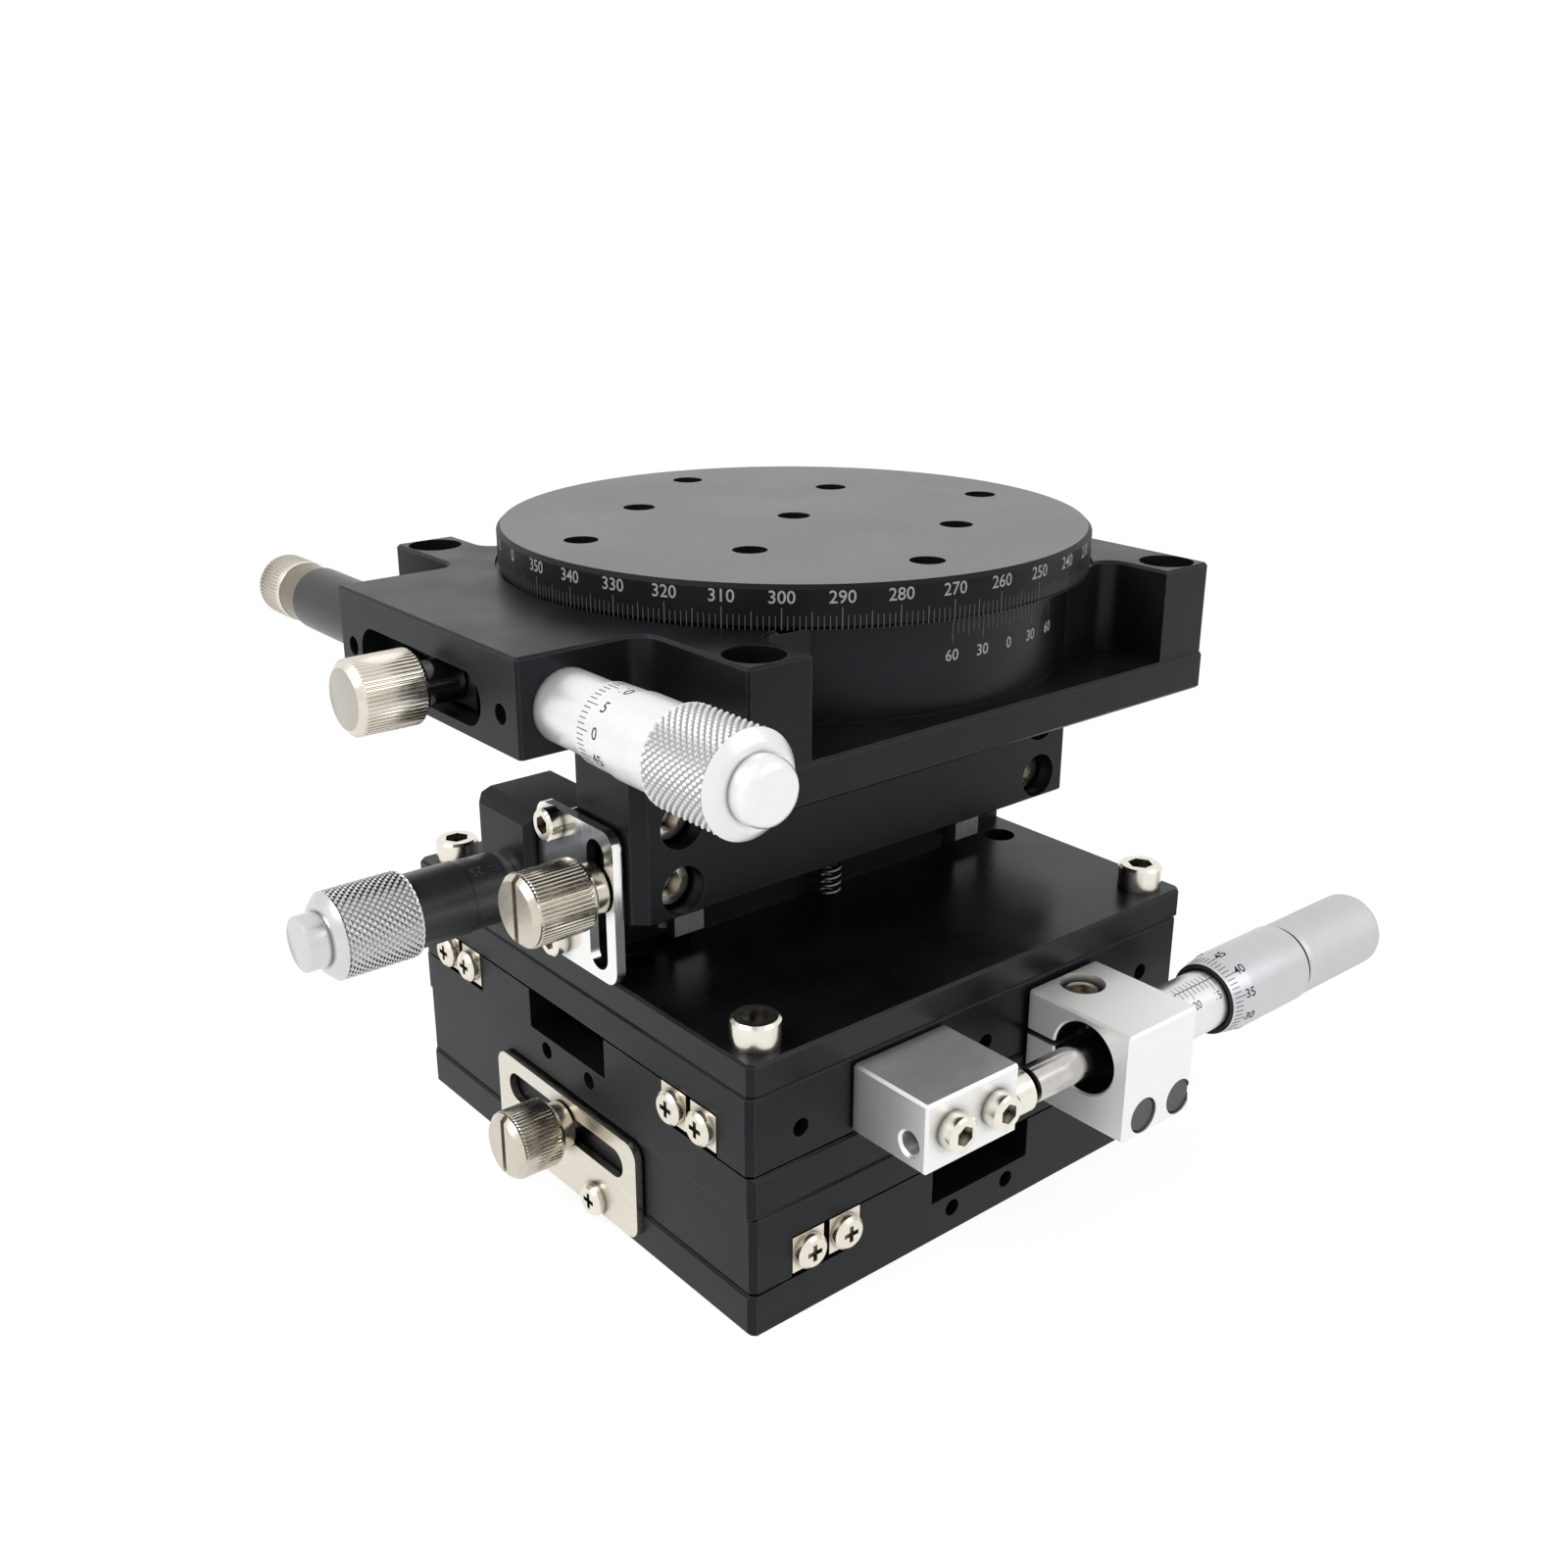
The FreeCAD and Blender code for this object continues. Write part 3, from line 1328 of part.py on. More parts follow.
def lift_micrometer():
    """Small micrometer head that pushes the wedge from the left."""
    face = half + s.head_block_front
    place = placed(-face, s.lift_head_place, lift_level + s.lift_head_level, AGAINST_X)
    stem_dia = s.small_stem_dia - 2 * s.fit_clearance
    micrometer_sleeve("z_sleeve", stem_dia, s.head_block_length, s.small_sleeve_dia, s.small_sleeve_reach,
                      s.small_spindle_dia, place)
    high = s.lift_thimble_start + s.small_smooth_length + s.small_grip_length - s.small_end_wall
    low = s.wedge_left - face + s.contact_gap
    micrometer_spindle("z_spindle", s.small_spindle_dia, low, high, place)
    small_thimble("z_thimble", s.lift_thimble_start, place)


plate = square_plate("z_base_plate", half, lift_base, s.lift_plate, s.cap_shank_dia + s.screw_play)
plate_holes = new_sketch(plate, "XY_Plane", lift_level)
for side in (-1, 1):
    draw_circle(plate_holes, s.plate_hole_place * side, -s.plate_hole_depth, s.plate_hole_dia)
cut(plate, plate_holes, s.cap_head_height)
corner_screws("z_base_screws", lift_level, s.lift_plate + s.table_slab)
lift_column()
lift_carriage()
carriage_screws()
lift_rails()
return_spring()
head_block()
lift_lock()
wedge_drive()
lift_micrometer()


def rotary_housing():
    """Drum between four ears, with a block on the left that encloses the fine-turning lever."""
    body = new_body("rotary_housing")
    wide = housing_half
    block = half + s.arm_block_out
    recess = wide - s.ear_depth
    sketch = new_sketch(body, "XY_Plane", housing_level)
    draw_outline(sketch, [
        (-wide, -wide),
        (-ear_inner, -wide),
        (-ear_inner, -recess),
        (ear_inner, -recess),
        (ear_inner, -wide),
        (wide, -wide),
        (wide, wide),
        (ear_inner, wide),
        (ear_inner, recess),
        (-ear_inner, recess),
        (-ear_inner, wide),
        (-wide, wide),
        (-wide, s.arm_block_far),
        (-block, s.arm_block_far),
        (-block, -s.arm_block_near),
        (-wide, -s.arm_block_near),
    ])
    pad(body, sketch, s.housing_height)
    inner_corner = lambda edge: (runs_along(edge, 2)
                                 and abs(abs(edge.CenterOfMass.x) - float(ear_inner)) < 1e-3
                                 and abs(abs(edge.CenterOfMass.y) - float(recess)) < 1e-3)
    break_edges(body, inner_corner, s.ear_round, "Fillet")
    block_root = lambda edge: (runs_along(edge, 2) and abs(edge.CenterOfMass.x + float(wide)) < 1e-3
                               and abs(edge.CenterOfMass.y) < float(s.arm_block_far) + 1)
    break_edges(body, block_root, s.arm_block_round, "Fillet")
    outer_edges = lambda edge: (runs_along(edge, 2)
                                and (abs(edge.CenterOfMass.x) > float(wide) - 1e-3)
                                and edge.Length > float(s.housing_height) - 1e-3
                                and edge.CenterOfMass.x != 0
                                and (abs(abs(edge.CenterOfMass.y) - float(wide)) < 1e-3
                                     or edge.CenterOfMass.x < -float(block) + 1e-3))
    break_edges(body, outer_edges, s.edge_break)
    sketch = new_sketch(body, "XY_Plane", housing_level)
    draw_circle(sketch, 0, 0, 2 * drum_radius)
    pad(body, sketch, s.housing_height)
    break_edges(body, lambda edge: level_edge(edge, housing_top), s.edge_break)
    sketch = new_sketch(body, "XY_Plane", housing_top)
    draw_circle(sketch, 0, 0, s.side + 2 * s.disc_recess_play)
    cut(body, sketch, s.disc_recess_depth)
    sketch = new_sketch(body, "XY_Plane", housing_level)
    draw_box(sketch, -block - 1, -s.arm_block_near - 1, -wide, s.arm_block_far + 1)
    cut(body, sketch, s.arm_block_rise, reverse=True)
    sketch = new_sketch(body, "XY_Plane", housing_top)
    draw_circle(sketch, 0, 0, 2 * bore_radius)
    cut(body, sketch, s.housing_height - s.housing_floor)
    sketch = new_sketch(body, "XY_Plane", housing_top)
    draw_circle(sketch, 0, 0, 2 * s.housing_centre_radius)
    cut(body, sketch)
    sketch = new_sketch(body, "XY_Plane", housing_level + s.cavity_high)
    draw_box(sketch, -block + s.cavity_wall, -s.cavity_near, -ring_inner, s.cavity_far)
    cut(body, sketch, s.cavity_high - s.cavity_low)
    sketch = new_sketch(body, "YZ_Plane", -block)
    draw_slot(sketch, s.window_place, housing_level + s.window_level, s.window_length, s.window_height)
    cut(body, sketch, s.cavity_wall + s.cavity_wall / 2, reverse=True)
    sketch = new_sketch(body, "YZ_Plane", -block)
    for side in (-1, 1):
        draw_circle(sketch, s.window_place / 2 + s.set_screw_place * side, housing_level + s.window_level,
                    s.set_screw_dia)
    cut(body, sketch, s.knob_shank_length, reverse=True)
    sketch = new_sketch(body, "XZ_Plane", s.arm_block_near)
    fine_level = housing_level + s.fine_axis_level
    draw_circle(sketch, -fine_axis_out, fine_level, s.small_stem_dia)
    cut(body, sketch, s.arm_block_near - s.cavity_near + s.side_relief)
    sketch = new_sketch(body, "XZ_Plane", -s.arm_block_far)
    draw_circle(sketch, -fine_axis_out, fine_level, s.plunger_pin_dia + 2 * s.running_clearance)
    cut(body, sketch, s.arm_block_far - s.cavity_far + s.side_relief, reverse=True)
    for diameter, depth in ((s.ear_sink_dia, s.ear_sink_depth), (s.cap_shank_dia + s.screw_play, None)):
        sketch = new_sketch(body, "XY_Plane", housing_top)
        for side_x in (-1, 1):
            for side_y in (-1, 1):
                draw_circle(sketch, corner_place * side_x, corner_place * side_y, diameter)
        cut(body, sketch, depth)


def clamp_ring():
    """Ring around the disc's hub with the lever that the micrometer pushes."""
    body = new_body("clamp_ring")
    low = housing_level + s.ring_low
    sketch = new_sketch(body, "XY_Plane", low)
    draw_circle(sketch, 0, 0, 2 * ring_outer)
    pad(body, sketch, s.ring_height)
    sketch = new_sketch(body, "XY_Plane", housing_level + s.lever_low)
    draw_box(sketch, -lever_out, -s.lever_near, -ring_inner, s.lever_far)
    pad(body, sketch, s.lever_height)
    sketch = new_sketch(body, "XY_Plane", low + s.ring_height)
    draw_circle(sketch, 0, 0, 2 * ring_inner)
    cut(body, sketch)
    sketch = new_sketch(body, "YZ_Plane", -lever_out)
    knob_level = housing_level + s.rotary_knob_level
    draw_circle(sketch, s.rotary_knob_place, knob_level, s.rotary_shank_dia + 2 * s.running_clearance)
    cut(body, sketch, lever_out, reverse=True)


def rotary_disc():
    """Graduated disc with a hub, and tapped holes on a square grid."""
    body = new_body("rotary_disc")
    low = housing_level + s.hub_low
    top = disc_level + s.disc_thick
    hub = ring_inner - s.hub_gap
    edge = s.disc_break
    turn_profile(body, [
        (0, low),
        (hub, low),
        (hub, disc_level),
        (half - edge, disc_level),
        (half, disc_level + edge),
        (half, top - edge),
        (half - edge, top),
        (0, top),
    ])
    sketch = new_sketch(body, "XY_Plane", top)
    for column in (-1, 0, 1):
        for line in (-1, 0, 1):
            turn = math.radians(s.grid_turn.value)
            x = column * math.cos(turn) - line * math.sin(turn)
            y = column * math.sin(turn) + line * math.cos(turn)
            draw_circle(sketch, s.grid_pitch * x, s.grid_pitch * y, s.mount_hole_dia)
    cut(body, sketch, s.tapped_depth)


def rotary_details():
    """Bearing, lock knob, micrometer and spring plunger of the rotary table."""
    floor = housing_level + s.housing_floor
    body = new_body("rotary_bearing")
    turn_profile(body, [
        (s.bearing_inner, floor),
        (ring_inner - s.hub_gap, floor),
        (ring_inner - s.hub_gap, floor + s.bearing_height),
        (s.bearing_inner, floor + s.bearing_height),
    ])
    knob_level = housing_level + s.rotary_knob_level
    knob_place = placed(-lever_out - s.knob_play, s.rotary_knob_place, knob_level, AGAINST_X)
    neck_length = half + s.rotary_knob_overhang - lever_out - s.knob_play
    shank_length = lever_out + s.knob_play - ring_inner + s.hub_gap / 2
    thumb_screw("rotary_lock_knob", s.rotary_knob_dia, s.rotary_knob_length, s.rotary_neck_dia, neck_length,
                s.rotary_shank_dia, shank_length, knob_place, slotted=False)
    fine_level = housing_level + s.fine_axis_level
    place = placed(-fine_axis_out, -s.arm_block_near, fine_level, AGAINST_Y)
    stem_dia = s.small_stem_dia - 2 * s.fit_clearance
    stem_length = s.arm_block_near - s.cavity_near
    reach = s.fine_thimble_start + s.small_smooth_length
    micrometer_sleeve("rotary_sleeve", stem_dia, stem_length, s.small_sleeve_dia, reach,
                      s.small_spindle_dia, place)
    high = s.fine_thimble_start + s.small_smooth_length + s.small_grip_length - s.small_end_wall
    low = s.lever_near - s.arm_block_near + s.contact_gap
    micrometer_spindle("rotary_spindle", s.small_spindle_dia, low, high, place)
    small_thimble("rotary_thimble", s.fine_thimble_start, place)

    axis = (-fine_axis_out, fine_level)
    bore = s.plunger_pin_dia / 2 + s.running_clearance
    barrel = s.plunger_dia / 2
    body = new_body("spring_plunger")
    cap = s.plunger_cap_dia / 2
    cap_end = s.plunger_length + s.plunger_cap_length
    turn_profile(body, [
        (bore, 0),
        (barrel, 0),
        (barrel, s.plunger_length),
        (cap - s.edge_break, s.plunger_length),
        (cap, s.plunger_length + s.edge_break),
        (cap, cap_end - s.knob_chamfer),
        (cap - s.knob_chamfer, cap_end),
        (0, cap_end),
        (0, s.plunger_length),
        (bore, s.plunger_length),
    ])
    body.Placement = placed(axis[0], s.arm_block_far, axis[1], ALONG_Y)
    body = new_body("plunger_pin")
    pin = s.plunger_pin_dia / 2
    turn_profile(body, [
        (0, 0),
        (s.tip_flat, 0),
        (pin, s.tip_crown),
        (pin, s.plunger_pin_length),
        (0, s.plunger_pin_length),
    ])
    body.Placement = placed(axis[0], s.lever_far + s.contact_gap, axis[1], ALONG_Y)


square_plate("z_top_plate", half, top_level, s.top_plate, s.cap_shank_dia + s.screw_play)
rotary_housing()
corner_screws("housing_screws", housing_top - s.ear_sink_depth, s.housing_height - s.ear_sink_depth + s.top_plate)
clamp_ring()
rotary_disc()
rotary_details()

doc.recompute()
for item in doc.Objects:
    if "Invalid" in item.State or "Error" in item.State:
        raise RuntimeError(f"{item.Label} did not build: {item.State}")
for item in finished:
    if item.Shape.isNull() or not item.Shape.isValid():
        raise RuntimeError(f"{item.Label} has no valid shape")
os.makedirs("parts", exist_ok=True)
for item in finished:
    item.Shape.exportStep(f"parts/{item.Label}.step")
print(len(finished), "nodes written")
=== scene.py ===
import math

import bpy
from mathutils import Matrix, Vector


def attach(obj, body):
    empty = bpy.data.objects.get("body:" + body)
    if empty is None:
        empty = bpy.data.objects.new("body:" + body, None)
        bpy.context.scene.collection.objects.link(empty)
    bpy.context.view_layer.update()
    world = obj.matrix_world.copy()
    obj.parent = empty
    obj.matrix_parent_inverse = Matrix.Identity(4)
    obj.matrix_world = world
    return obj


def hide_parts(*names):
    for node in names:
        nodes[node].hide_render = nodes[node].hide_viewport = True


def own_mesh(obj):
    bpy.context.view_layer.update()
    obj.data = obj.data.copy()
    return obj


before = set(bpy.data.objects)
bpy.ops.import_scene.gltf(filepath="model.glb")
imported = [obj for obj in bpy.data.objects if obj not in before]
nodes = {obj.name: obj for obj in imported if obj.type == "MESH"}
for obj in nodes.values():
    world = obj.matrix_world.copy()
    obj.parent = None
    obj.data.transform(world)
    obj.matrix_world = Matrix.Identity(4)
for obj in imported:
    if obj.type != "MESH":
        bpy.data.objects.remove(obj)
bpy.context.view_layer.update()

MM = 0.001

# Places that the pieces share, in millimetres
SLIDE_HEIGHT = 18.9
HEAD_OUT = 56.2
HEAD_LEVEL = 10.7
HEAD_FACE = 24.0
LIFT_LEVEL = 42.8
HOUSING_LEVEL = 82.7
HOUSING_TOP = 95.9
DISC_LEVEL = 96.3
DISC_TOP = 102.3
DISC_RADIUS = 45.0
DRUM_RADIUS = 42.0
RAIL_END = 44.9
BORE_RADIUS = 5.6
SLEEVE_RADIUS = 4.8
SMALL_SLEEVE_RADIUS = 4.9
X, Y, Z = (1, 0, 0), (0, 1, 0), (0, 0, 1)
AGAINST_X, AGAINST_Y = (-1, 0, 0), (0, -1, 0)

# Colours that several materials share
NICKEL = (0.86, 0.82, 0.73)
WARM_NICKEL = (0.80, 0.75, 0.65)
BLACK = (0.0046, 0.0050, 0.0062)
DEEP_BLACK = (0.0033, 0.0035, 0.0042)
NO_LIGHT = (0.0, 0.0, 0.0)

# Small surface details, in millimetres
EDGE_RADIUS = 0.3
TURNED_DEPTH = 0.001
MARK_LIFT = 0.02
KNURL_DEPTH = 0.20
KNURL_EDGE = 0.25

# Share of a figure's font size that its height fills
FIGURE_HEIGHT = 0.72

# Sharper edges than this stay sharp on smooth pieces
SMOOTH_ANGLE = math.radians(32)


# Shader helpers

class Shader:
    """A Principled material with the nodes that vary it over the surface."""

    def __init__(self, name):
        self.material = bpy.data.materials.new(name)
        self.material.use_nodes = True
        self.tree = self.material.node_tree
        self.tree.nodes.clear()
        self.output = self.node("ShaderNodeOutputMaterial")
        self.surface = self.node("ShaderNodeBsdfPrincipled")
        self.link(self.surface.outputs["BSDF"], self.output.inputs["Surface"])
        place = self.node("ShaderNodeTexCoord").outputs["Object"]
        self.place = self.vector("SCALE", place, scale=1000.0)

    def node(self, kind, **settings):
        made = self.tree.nodes.new(kind)
        for key, value in settings.items():
            setattr(made, key, value)
        return made

    def link(self, start, end):
        self.tree.links.new(start, end)

    def put(self, value, socket):
        """Link an output to the socket, or set the socket to a plain value."""
        if isinstance(value, bpy.types.NodeSocket):
            self.link(value, socket)
        else:
            socket.default_value = value

    def math(self, operation, first, second=0.0, third=0.0):
        made = self.node("ShaderNodeMath", operation=operation)
        for index, value in enumerate((first, second, third)):
            self.put(value, made.inputs[index])
        return made.outputs[0]

    def vector(self, operation, first, second=(0.0, 0.0, 0.0), scale=1.0):
        """Vector math; the scale counts for SCALE alone."""
        made = self.node("ShaderNodeVectorMath", operation=operation)
        self.put(first, made.inputs[0])
        if operation == "SCALE":
            self.put(scale, made.inputs[3])
        else:
            self.put(second, made.inputs[1])
        return made.outputs["Value" if operation in ("LENGTH", "DOT_PRODUCT") else "Vector"]

    def noise(self, scale, detail, stretch=(1.0, 1.0, 1.0)):
        """Noise at so many features a millimetre, from 0 to 1, stretched where stretch is small."""
        place = self.vector("MULTIPLY", self.place, stretch)
        made = self.node("ShaderNodeTexNoise")
        self.put(place, made.inputs["Vector"])
        made.inputs["Scale"].default_value = scale
        made.inputs["Detail"].default_value = detail
        return made.outputs["Fac"]

    def ramp(self, value, low, high, start=0.3, end=0.7):
        """Map the value between start and end onto low to high."""
        made = self.node("ShaderNodeMapRange")
        self.put(value, made.inputs["Value"])
        made.inputs["From Min"].default_value = start
        made.inputs["From Max"].default_value = end
        made.inputs["To Min"].default_value = low
        made.inputs["To Max"].default_value = high
        return made.outputs["Result"]

    def blend(self, factor, first, second):
        """Mix of two colours, the second where the factor is 1."""
        made = self.node("ShaderNodeMix", data_type="RGBA")
        self.put(factor, made.inputs["Factor"])
        for value, socket in ((first, made.inputs[6]), (second, made.inputs[7])):
            self.put(value if isinstance(value, bpy.types.NodeSocket) else (*value, 1.0), socket)
        return made.outputs[2]

    def color(self, value):
        self.set("Base Color", value)

    def set(self, name, value):
        self.put(value, self.surface.inputs[name])

    def bump(self, height, distance, strength):
        """Relief of the surface, distance millimetres deep."""
        made = self.node("ShaderNodeBump")
        made.inputs["Strength"].default_value = strength
        made.inputs["Distance"].default_value = distance * MM
        self.link(height, made.inputs["Height"])
        self.link(made.outputs["Normal"], self.surface.inputs["Normal"])

    def edges(self):
        """1 along sharp edges, 0 on flat surfaces."""
        rounded = self.node("ShaderNodeBevel", samples=4)
        rounded.inputs["Radius"].default_value = EDGE_RADIUS * MM
        plain = self.node("ShaderNodeNewGeometry").outputs["Normal"]
        likeness = self.vector("DOT_PRODUCT", rounded.outputs["Normal"], plain)
        return self.ramp(likeness, 1.0, 0.0, start=0.86, end=0.995)

    def crevice(self, reach, dark):
        """Painted shade: from dark in narrow hollows up to 1 on open surfaces."""
        made = self.node("ShaderNodeAmbientOcclusion", samples=6)
        made.inputs["Distance"].default_value = reach * MM
        return self.ramp(made.outputs["AO"], dark, 1.0, start=0.35, end=0.85)

    def shaded(self, colour, factor):
        """The colour times a factor."""
        return self.blend(factor, NO_LIGHT, colour)

    def round_axis(self, origin, axis):
        """Height along an axis through origin and distance from it, in millimetres."""
        offset = self.vector("SUBTRACT", self.place, tuple(origin))
        along = self.vector("DOT_PRODUCT", offset, tuple(axis))
        flat = self.vector("SCALE", tuple(axis), scale=along)
        return along, self.vector("LENGTH", self.vector("SUBTRACT", offset, flat))

    def split(self, place=None):
        """The three coordinates of a vector, or of the place in millimetres."""
        made = self.node("ShaderNodeSeparateXYZ")
        self.put(place or self.place, made.inputs[0])
        return made.outputs


def mixed(first, second, share):
    """Colour that lies share of the way from the first to the second."""
    return tuple(a + (b - a) * share for a, b in zip(first, second))


def darker(colour, share):
    return mixed(colour, NO_LIGHT, share)


def anodised(name, colour, rough=0.34, sheen=0.21, edge_glint=0.4, grain_depth=0.010):
    """Black satin anodised aluminium: fine blasted grain, faint blotches, and a painted highlight along sharp edges.
    """
    made = Shader(name)
    blotch = made.noise(0.09, 4.0)
    grain = made.noise(7.0, 2.0)
    shade = made.blend(made.ramp(blotch, 0.0, 1.0), darker(colour, 0.2), mixed(colour, (1, 1, 1), 0.004))
    speck = made.ramp(made.noise(2.2, 2.0), 0.0, 0.5, start=0.76, end=0.82)
    shade = made.blend(speck, shade, mixed(colour, (0.5, 0.5, 0.5), 0.08))
    # Painted highlight: sharp edges lightened towards grey, unevenly along their length.
    edge_glint_share = made.math("MULTIPLY", made.edges(), made.ramp(made.noise(0.5, 4.0), 0.25 * edge_glint, edge_glint))
    made.color(made.blend(edge_glint_share, shade, (0.16, 0.16, 0.165)))
    made.set("Roughness", made.ramp(blotch, rough - 0.04, rough + 0.06))
    made.set("Specular IOR Level", sheen)
    made.set("Specular Tint", (0.86, 0.92, 1.0, 1.0))
    made.bump(grain, grain_depth, 0.6)
    return made.material


def brushed(name, colour, along, rough, depth=0.006, metal=1.0, bore=None, grime=0.18, tips=None):
    """Metal with fine lines that run along one axis.

    A bore given by its origin, axis and radius gets painted shade inside, near black; the metal is nickel beyond the
    rails' ends.
    """
    made = Shader(name)
    stretch = tuple(0.03 if axis == along else 1.0 for axis in range(3))
    lines = made.noise(9.0, 3.0, stretch)
    broad = made.noise(0.25, 3.0)
    shade = made.blend(made.ramp(lines, 0.0, 1.0), darker(colour, grime), colour)
    shade = made.blend(made.ramp(broad, 0.0, 0.25), shade, darker(colour, grime))
    if tips:
        reach = made.math("ABSOLUTE", made.split()[along])
        shade = made.blend(made.math("GREATER_THAN", reach, tips), shade, WARM_NICKEL)
    # Painted shade in hollows and recesses.
    shade = made.shaded(shade, made.crevice(1.6, 0.28) if tips else made.crevice(2.5, 0.08))
    if bore:
        origin, axis, radius = bore
        # Painted shade: near black within the bore's radius of its axis.
        inside = made.math("LESS_THAN", made.round_axis(origin, axis)[1], radius)
        shade = made.blend(inside, shade, (0.02, 0.02, 0.02))
    made.color(shade)
    made.set("Metallic", metal)
    made.set("Roughness", made.ramp(lines, rough - 0.05, rough + 0.09))
    made.bump(lines, depth, 0.7)
    return made.material


def turned(name, colour, origin, axis, rough, metal=1.0, knurled=None):
    """Turned metal: fine rings round an axis through origin, given in millimetres.

    A knurled band, given by its two heights and two radii, gets painted shade towards the foot of its grooves.
    """
    made = Shader(name)
    along, radius = made.round_axis(origin, axis)
    section = made.node("ShaderNodeCombineXYZ")
    made.link(along, section.inputs[0])
    made.link(radius, section.inputs[1])
    rings = made.node("ShaderNodeTexNoise")
    made.link(section.outputs[0], rings.inputs["Vector"])
    rings.inputs["Scale"].default_value = 4.0
    rings.inputs["Detail"].default_value = 2.0
    value = rings.outputs["Fac"]
    haze = made.noise(0.3, 3.0)
    shade = made.blend(made.ramp(value, 0.0, 1.0), darker(colour, 0.05), colour)
    shade = made.blend(made.ramp(haze, 0.0, 0.2), shade, darker(colour, 0.2))
    # Painted shade in hollows.
    shade = made.shaded(shade, made.crevice(1.0, 0.25))
    # Painted shade in the knurl's grooves, darker towards their foot.
    if knurled:
        low, high, foot, crest = knurled
        height = made.math("ABSOLUTE", along)
        outside = made.math("MAXIMUM", made.math("LESS_THAN", height, low), made.math("GREATER_THAN", height, high))
        groove = made.math("MAXIMUM", made.ramp(radius, 0.42, 1.0, start=foot, end=crest), outside)
        shade = made.shaded(shade, groove)
    made.color(shade)
    made.set("Metallic", metal)
    made.set("Roughness", made.ramp(value, rough - 0.02, rough + 0.05))
    made.bump(value, TURNED_DEPTH, 0.6)
    return made.material


def bright(name, colour, rough, hollow=0.02, reach=1.6):
    """Polished or plated steel with faint smears and tiny dents, with painted shade in its sockets and slots."""
    made = Shader(name)
    smear = made.noise(0.6, 4.0)
    shade = made.blend(made.ramp(smear, 0.0, 1.0), darker(colour, 0.08), colour)
    # Painted shade in sockets and slots.
    made.color(made.shaded(shade, made.crevice(reach, hollow)))
    made.set("Metallic", 1.0)
    made.set("Roughness", made.ramp(smear, rough - 0.04, rough + 0.08))
    made.bump(made.noise(3.0, 2.0), 0.003, 0.5)
    return made.material


def two_screws(name, axis, sign, level):
    """Nickel pan heads on the lock plate's side; black cap screws and a warm clamp screw on the bracket's."""
    made = Shader(name)
    smear = made.noise(0.6, 4.0)
    bracket = made.math("GREATER_THAN", made.math("MULTIPLY", made.split()[axis], sign), 0.0)
    low = made.math("LESS_THAN", made.split()[2], level)
    dark = made.math("MULTIPLY", bracket, low)
    shade = made.blend(made.ramp(smear, 0.0, 1.0), darker(NICKEL, 0.08), NICKEL)
    shade = made.blend(bracket, shade, (0.62, 0.56, 0.46))
    shade = made.blend(dark, shade, (0.05, 0.047, 0.043))
    # Painted shade in the heads' recesses.
    made.color(made.shaded(shade, made.crevice(1.6, 0.22)))
    made.set("Metallic", made.math("MULTIPLY_ADD", dark, -0.4, 1.0))
    made.set("Roughness", made.ramp(smear, 0.18, 0.30))
    made.bump(made.noise(3.0, 2.0), 0.003, 0.5)
    return made.material


def ink(name, colour):
    """Paint in an engraved line, slightly uneven."""
    made = Shader(name)
    patch = made.noise(3.0, 3.0)
    made.color(made.blend(made.ramp(patch, 0.0, 1.0), darker(colour, 0.2), colour))
    made.set("Roughness", made.ramp(patch, 0.5, 0.7))
    made.set("Specular IOR Level", 0.2)
    made.bump(made.noise(8.0, 2.0), 0.004, 0.5)
    return made.material


def disc_finish(name):
    """Blasted grey top face over a black anodised rim; the top's grey is partly its finish and partly painted
    reflection.
    """
    made = Shader(name)
    grain = made.noise(5.0, 3.0)
    blotch = made.noise(0.05, 4.0)
    fine = made.ramp(grain, 0.0, 1.0)
    # Top face grey: blasted finish, raised in part as painted reflection of the bright surroundings.
    grey = made.blend(fine, (0.125, 0.127, 0.120), (0.180, 0.183, 0.172))
    grey = made.blend(made.ramp(blotch, 0.0, 0.25), grey, (0.20, 0.203, 0.192))
    black = made.blend(fine, (0.003, 0.003, 0.0035), (0.006, 0.006, 0.0065))
    up = made.split(made.node("ShaderNodeNewGeometry").outputs["True Normal"])[2]
    high = made.math("GREATER_THAN", made.split()[2], DISC_TOP - 0.1)
    top = made.math("MULTIPLY", made.math("GREATER_THAN", up, 0.99), high)
    made.color(made.blend(top, black, grey))
    made.set("Roughness", made.ramp(blotch, 0.40, 0.50))
    made.set("Specular IOR Level", made.math("MULTIPLY_ADD", top, 0.30, 0.15))
    made.bump(grain, 0.014, 0.6)
    return made.material


black_satin = anodised("black_satin", BLACK)
black_smooth = anodised("black_smooth", DEEP_BLACK, rough=0.28, sheen=0.25, edge_glint=0.3)
disc_paint = disc_finish("disc_finish")
steel_z = brushed("ground_steel_z", (0.50, 0.50, 0.51), 2, rough=0.26)
plate_z = brushed("plate_steel_z", (0.92, 0.92, 0.91), 2, rough=0.14, depth=0.001, grime=0.04)
